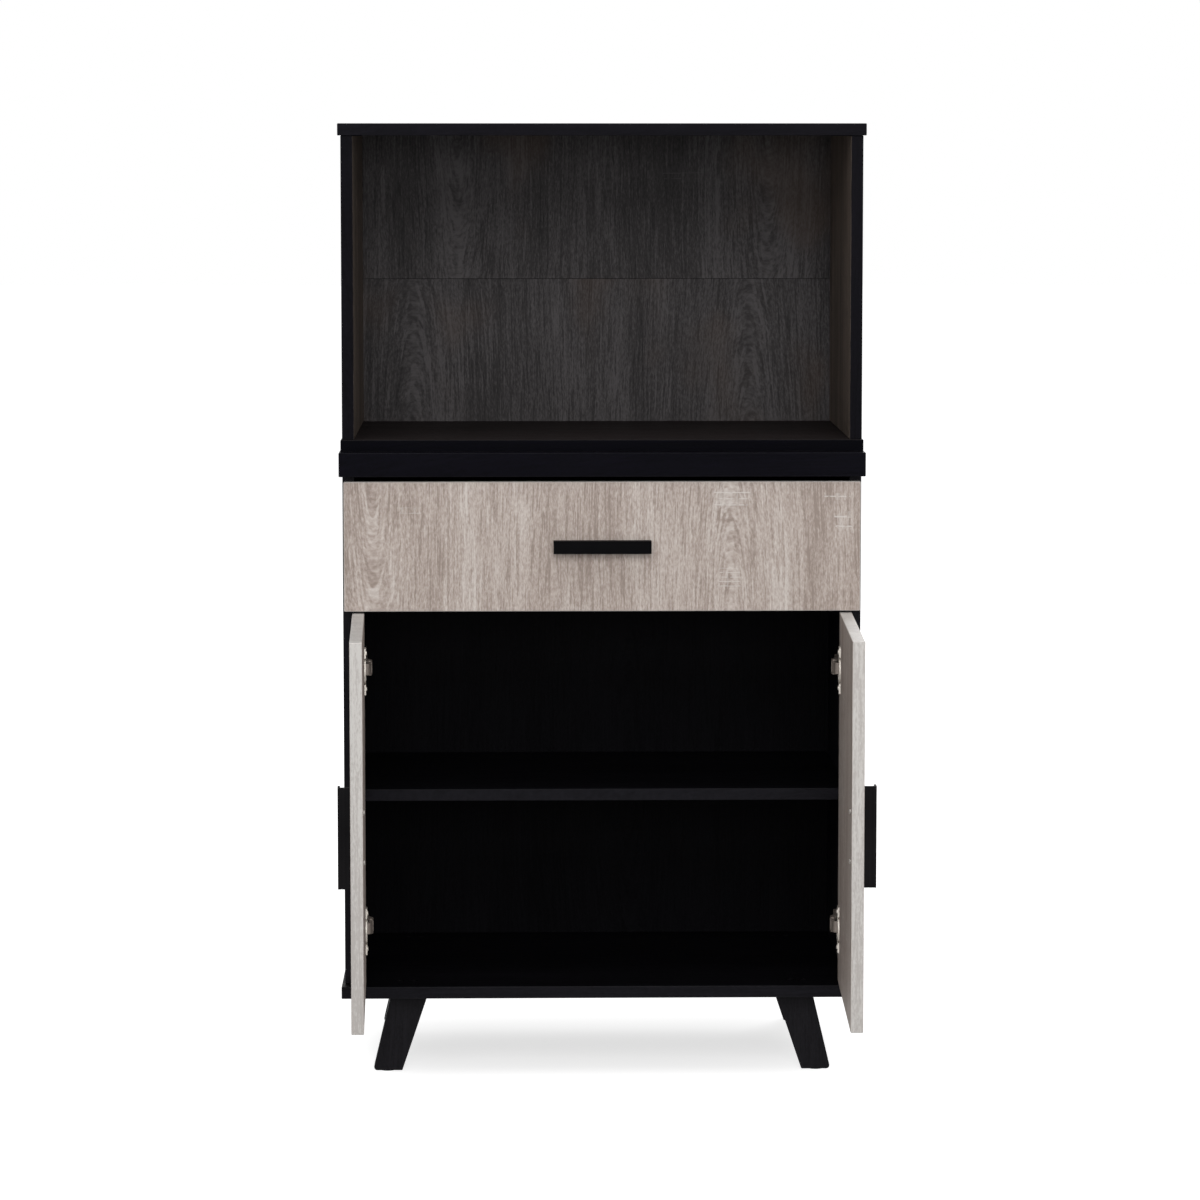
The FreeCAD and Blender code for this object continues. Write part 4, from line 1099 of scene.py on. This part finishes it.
@dataclass
class ScrewSet:
    """Screws of one kind, with a cross recess in each head, that stand for the plain ones of the frame.

    The fields after these are shares of the head's radius, and lengths in metres.

    Attributes:
        nodes: The frame's nodes.
        node: The node they stand for.
        body: The body they ride on.
        slot: The name of a slot for their finish; not used.
        plate: Their finish.
        towards: The way from a head's top to the screw's tip, in the stand's frame or the door's own.
        swing: How far the board that holds them is swung open, in degrees.
        sink: How far the heads are let into the sheet under them, in metres.
    """

    nodes: Nodes
    node: str
    body: str
    slot: str
    plate: Material
    towards: Triple
    swing: float = 0.0
    sink: float = 0.0
    head_height: float = 0.0020
    head_band: float = 0.0015
    top_part: float = 0.86
    chamfer: float = 0.0005
    shank_part: float = 0.52
    tip_part: float = 0.35
    tip_length: float = 0.002
    recess_part: float = 0.62
    recess_width: float = 0.20
    recess_taper: float = 0.62
    recess_depth: float = 0.0012
    round_steps: int = 24
    weld: float = 1e-6

    def islands(self) -> list[list[Vector]]:
        """Parts the plain screws from each other.

        Returns:
            The corner points of each one, in the holding board's frame.
        """
        plain = bmesh.new()
        plain.from_mesh(self.nodes[self.node].data)
        bmesh.ops.remove_doubles(plain, verts=plain.verts, dist=self.weld)
        turn = Matrix.Rotation(math.radians(-self.swing), 3, "Z")
        waiting = set(plain.verts)
        found = []
        while waiting:
            edge_of_search = [waiting.pop()]
            island = []
            while edge_of_search:
                corner = edge_of_search.pop()
                island.append(turn @ corner.co)
                for edge in corner.link_edges:
                    other = edge.other_vert(corner)
                    if other in waiting:
                        waiting.remove(other)
                        edge_of_search.append(other)
            found.append(island)
        plain.free()
        return found

    def extrude(self, form: bmesh.types.BMesh, edges: list[bmesh.types.BMEdge], growth: float,
                drop: float) -> list[bmesh.types.BMEdge]:
        """Draws a ring of edges down Z and scales its new end.

        Args:
            form: The mesh.
            edges: The ring's edges.
            growth: How much wider the new end is.
            drop: How far down it lies, in metres.

        Returns:
            The edges of the new end.
        """
        drawn = bmesh.ops.extrude_edge_only(form, edges=edges)["geom"]
        corners = [item for item in drawn if isinstance(item, bmesh.types.BMVert)]
        bmesh.ops.scale(form, vec=(growth, growth, 1.0), verts=corners)
        bmesh.ops.translate(form, vec=(0.0, 0.0, -drop), verts=corners)
        return [item for item in drawn if isinstance(item, bmesh.types.BMEdge)
                and all(end in corners for end in item.verts)]

    def add_screw(self, form: bmesh.types.BMesh, radius: float, length: float, place: Matrix) -> None:
        """Models one screw, with its head's top at zero and its tip down Z, and puts it in its place.

        Args:
            form: The mesh that takes it.
            radius: The head's radius.
            length: The screw's whole length.
            place: Where it goes.
        """
        before = set(form.verts)
        rim = bmesh.ops.create_circle(form, segments=self.round_steps, radius=radius * self.top_part)["verts"]
        edges = list({edge for corner in rim for edge in corner.link_edges})
        arm, half = radius * self.recess_part, radius * self.recess_width
        outline = [(arm, -half), (arm, half), (half, half), (half, arm), (-half, arm), (-half, half),
                   (-arm, half), (-arm, -half), (-half, -half), (-half, -arm), (half, -arm), (half, -half)]
        cross = [form.verts.new((across, along, 0.0)) for across, along in outline]
        cross_edges = [form.edges.new((cross[step - 1], cross[step])) for step in range(len(cross))]
        bmesh.ops.triangle_fill(form, edges=edges + cross_edges, use_beauty=True)
        floor_edges = self.extrude(form, cross_edges, self.recess_taper, self.recess_depth)
        bmesh.ops.contextual_create(form, geom=floor_edges)
        for growth, drop in ((1.0 / self.top_part, self.chamfer), (1.0, self.head_height - self.chamfer),
                             (self.shank_part, 0.0), (1.0, length - self.head_height - self.tip_length),
                             (self.tip_part, self.tip_length)):
            edges = self.extrude(form, edges, growth, drop)
        bmesh.ops.contextual_create(form, geom=edges)
        made = [corner for corner in form.verts if corner not in before]
        bmesh.ops.transform(form, matrix=place, verts=made)

    def build(self) -> bpy.types.Object:
        """Builds every screw of the set in its place.

        Returns:
            The new piece.
        """
        form = bmesh.new()
        way = Vector(self.towards)
        upright = way.to_track_quat("-Z", "Y").to_matrix().to_4x4()
        unturn = Matrix.Rotation(math.radians(self.swing), 4, "Z")
        for island in self.islands():
            along = [point.dot(way) for point in island]
            head = [point for point, reach in zip(island, along) if reach < min(along) + self.head_band]
            low = Vector([min(point[part] for point in island) for part in range(3)])
            high = Vector([max(point[part] for point in island) for part in range(3)])
            middle = (low + high) / 2
            top = middle + way * (min(along) - middle.dot(way))
            radius = max((point - top - way * (point - top).dot(way)).length for point in head)
            place = unturn @ Matrix.Translation(top + way * self.sink) @ upright
            self.add_screw(form, radius, max(along) - min(along) - self.sink, place)
        bmesh.ops.recalc_face_normals(form, faces=form.faces)
        mesh = bpy.data.meshes.new(self.node + "_recessed")
        form.to_mesh(mesh)
        form.free()
        piece = bpy.data.objects.new(mesh.name, mesh)
        bpy.context.scene.collection.objects.link(piece)
        mesh.materials.append(self.plate)
        for polygon in mesh.polygons:
            polygon.use_smooth = False
        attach(piece, self.body)
        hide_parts(self.node)
        LOG.info("%s rides on %s", piece.name, self.body)
        return piece


def screw_sets(nodes: Nodes, black: Material, nickel: Material, zinc: Material) -> list[ScrewSet]:
    """Lists the screws whose heads can be seen.

    Args:
        nodes: The frame's nodes.
        black: The finish of the legs' screws.
        nickel: The finish of the hinges' screws.
        zinc: The finish of the handles' screws.

    Returns:
        The sets, in order.
    """
    down, forward = (0.0, 0.0, -1.0), (0.0, -1.0, 0.0)
    cup_sink = 0.0008
    sets = [ScrewSet(nodes, "leg_screws", "carcass", "black_handle", black, down),
            ScrewSet(nodes, "drawer_handle_screws", "drawer", "zinc_steel", zinc, forward)]
    for side in Side:
        outward = (float(side.value), 0.0, 0.0)
        swing = DOOR_OPENED * side.value
        body = side.word + "_door"
        for part in ("hinge_plate_screws_", "hinge_arm_screws_"):
            sets.append(ScrewSet(nodes, part + side.word, "carcass", "nickel", nickel, outward))
        sets.append(ScrewSet(nodes, "hinge_cup_screws_" + side.word, body, "nickel", nickel, forward, swing,
                             cup_sink))
        sets.append(ScrewSet(nodes, "door_handle_screws_" + side.word, body, "zinc_steel", zinc, forward,
                             swing))
    return sets


def aimed(place: Triple, aim: Triple) -> Euler:
    """The turn that points a lamp or a camera at its aim."""
    return (Vector(aim) - Vector(place)).to_track_quat("-Z", "Y").to_euler()


@dataclass
class Lamp:
    """One soft studio lamp."""

    name: str
    place: Triple
    aim: Triple
    size: Span
    power: float

    def build(self) -> bpy.types.Object:
        """Hangs the lamp.

        Returns:
            The lamp's object.
        """
        light = bpy.data.lights.new(self.name, "AREA")
        light.shape = "RECTANGLE"
        light.size, light.size_y = self.size
        light.energy = self.power
        lamp = bpy.data.objects.new(self.name, light)
        lamp.location = self.place
        lamp.rotation_euler = aimed(self.place, self.aim)
        bpy.context.scene.collection.objects.link(lamp)
        LOG.info("lamp %s of %.0f W", self.name, self.power)
        return lamp


@dataclass
class Studio:
    """The pale floor, the white surroundings, the lamps and the camera."""

    floor_reach: float = 30.0
    floor_sink: float = 0.0003
    floor_shade: float = 0.42
    # The glow's level in the middle of the oval under the stand: a painted shadow.
    painted_shadow_glow: float = 0.675
    outer_glow: float = 0.92
    shaded_middle: float = 0.13
    shaded_reach: Span = (0.322, 0.27)
    shaded_ends: float = 4.0
    shaded_span: Span = (0.20, 1.15)
    white_span: Span = (0.9, 2.2)
    ambient: float = 0.24
    lamp_aim: Triple = (0.0, 0.0, 0.65)
    eye: Triple = (-0.115, -5.741, 1.2615)
    aim: Triple = (-0.0033, -0.041, 0.7068)
    sensor: float = 36.0
    lens: float = 129.26
    shift: float = -0.04
    sight: float = 100.0

    def seen(self, sheet: NodeSheet) -> Socket:
        """Tells the rays that show the background.

        Args:
            sheet: The tree that asks.

        Returns:
            1 for camera, glossy and transmission rays, otherwise 0.
        """
        path = sheet.lay("ShaderNodeLightPath").outputs
        either = sheet.math("MAXIMUM", path["Is Camera Ray"], path["Is Glossy Ray"])
        return sheet.math("MAXIMUM", either, path["Is Transmission Ray"])

    def floor_level(self, sheet: NodeSheet) -> Socket:
        """Works out the floor's glow: dimmed in an oval under the stand as a painted shadow, beside the
        lamps' real one, and white far from it.

        Args:
            sheet: The floor's tree.

        Returns:
            The glow's level.
        """
        across, deep, _ = sheet.split(sheet.lay("ShaderNodeTexCoord").outputs["Object"])
        far = sheet.step(sheet.length(across, deep), *self.white_span)
        aside = sheet.math("ABSOLUTE", sheet.math("DIVIDE", across, self.shaded_reach[0]))
        behind = sheet.math("DIVIDE", sheet.minus(deep, self.shaded_middle), self.shaded_reach[1])
        # The oval under the stand where the glow is dimmed: a painted shadow, which stays put when the doors
        # or the drawer move.
        painted_shadow_oval = sheet.length(sheet.math("POWER", aside, self.shaded_ends), behind)
        outside = sheet.times(sheet.step(painted_shadow_oval, *self.shaded_span), self.outer_glow - self.painted_shadow_glow)
        return sheet.plus(self.painted_shadow_glow, outside, sheet.times(far, 1.0 - self.outer_glow))

    def build_floor(self) -> None:
        """Lays the pale floor, which keeps the stand's cast shadow and carries a painted shadow under it."""
        form = bmesh.new()
        bmesh.ops.create_grid(form, x_segments=1, y_segments=1, size=self.floor_reach)
        bmesh.ops.translate(form, vec=(0.0, 0.0, -self.floor_sink), verts=form.verts)
        mesh = bpy.data.meshes.new("studio_floor")
        form.to_mesh(mesh)
        form.free()
        floor = bpy.data.objects.new("studio_floor", mesh)
        bpy.context.scene.collection.objects.link(floor)
        material = bpy.data.materials.new("studio_floor")
        material.use_nodes = True
        material.node_tree.nodes.clear()
        sheet = NodeSheet(material.node_tree)
        matt = sheet.lay("ShaderNodeBsdfDiffuse", {"Color": (self.floor_shade,) * 3})
        level = sheet.times(self.seen(sheet), self.floor_level(sheet))
        glow = sheet.lay("ShaderNodeEmission", {"Strength": level})
        both = sheet.lay("ShaderNodeAddShader", {0: matt.outputs[0], 1: glow.outputs[0]})
        sheet.lay("ShaderNodeOutputMaterial", {"Surface": both.outputs[0]})
        mesh.materials.append(material)

    def build_world(self) -> None:
        """Makes the surroundings white to look at and dim to light with."""
        world = bpy.data.worlds.new("studio_world")
        bpy.context.scene.world = world
        world.use_nodes = True
        world.node_tree.nodes.clear()
        sheet = NodeSheet(world.node_tree)
        dim, white = (sheet.lay("ShaderNodeBackground", {"Color": WHITE, "Strength": strength}).outputs[0]
                      for strength in (self.ambient, 1.0))
        mix = sheet.lay("ShaderNodeMixShader", {0: self.seen(sheet), 1: dim, 2: white})
        sheet.lay("ShaderNodeOutputWorld", {"Surface": mix.outputs[0]})

    def build_lamps(self) -> None:
        """Hangs a large soft lamp over the camera, weak ones in front, overhead and aside, and one behind."""
        for name, place, size, power in (("over_camera", (-0.2, -4.5, 3.2), (3.0, 1.8), 110.0),
                                         ("front", (0.2, -5.2, 1.5), (2.2, 1.0), 60.0),
                                         ("overhead", (0.0, -1.0, 4.4), (3.0, 2.0), 45.0),
                                         ("left_fill", (-3.4, -4.0, 1.6), (1.6, 2.2), 12.0),
                                         ("right_fill", (3.4, -4.0, 1.6), (1.6, 2.2), 12.0),
                                         ("behind", (1.2, 4.6, 3.2), (3.0, 2.0), 150.0)):
            Lamp(name, place, self.lamp_aim, size, power).build()

    def build_camera(self) -> None:
        """Stands the camera where the photograph was taken from."""
        data = bpy.data.cameras.new("photo_camera")
        data.sensor_width = self.sensor
        data.lens = self.lens
        data.shift_y = self.shift
        data.clip_end = self.sight
        camera = bpy.data.objects.new("photo_camera", data)
        camera.location = self.eye
        camera.rotation_euler = aimed(self.eye, self.aim)
        bpy.context.scene.collection.objects.link(camera)
        bpy.context.scene.camera = camera

    def build(self) -> None:
        """Sets up the whole studio."""
        bpy.context.scene.view_settings.view_transform = "Standard"
        self.build_floor()
        self.build_world()
        self.build_lamps()
        self.build_camera()


def main() -> None:
    """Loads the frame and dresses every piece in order."""
    logging.basicConfig(level=logging.INFO, format="%(name)s: %(message)s")
    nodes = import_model()["nodes"]
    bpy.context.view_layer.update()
    handle_coat = BlackCoat("black_handle").material()
    # A paler copy of the black handle coat for the door handles: painted light.
    lit_door_handle_coat = BlackCoat("black_door_handle_lit", base=(0.0066, 0.0062, 0.0068),
                                 worn=(0.0160, 0.0152, 0.0162)).material()
    nickel = PlatedSteel(Metal.NICKEL).material()
    shaded_nickel = PlatedSteel(Metal.SHADED_NICKEL, rough=0.50, metallic=0.45).material()
    zinc = PlatedSteel(Metal.ZINC, GrainRun.DEEP, rough=0.46).material()
    warm_shaded_zinc = PlatedSteel(Metal.WARM_SHADED_ZINC, GrainRun.DEEP, rough=0.58).material()
    Carcass(nodes).dress()
    Hutch(nodes).dress()
    Legs(nodes).dress()
    Drawer(nodes, handle_coat, zinc).dress()
    for side in Side:
        Door(nodes, side, lit_door_handle_coat, nickel, shaded_nickel).dress()
    coat(nodes["shelf_pins"], nickel)
    for screws in screw_sets(nodes, handle_coat, nickel, warm_shaded_zinc):
        screws.build()
    Studio().build()


if __name__ == "__main__":
    main()
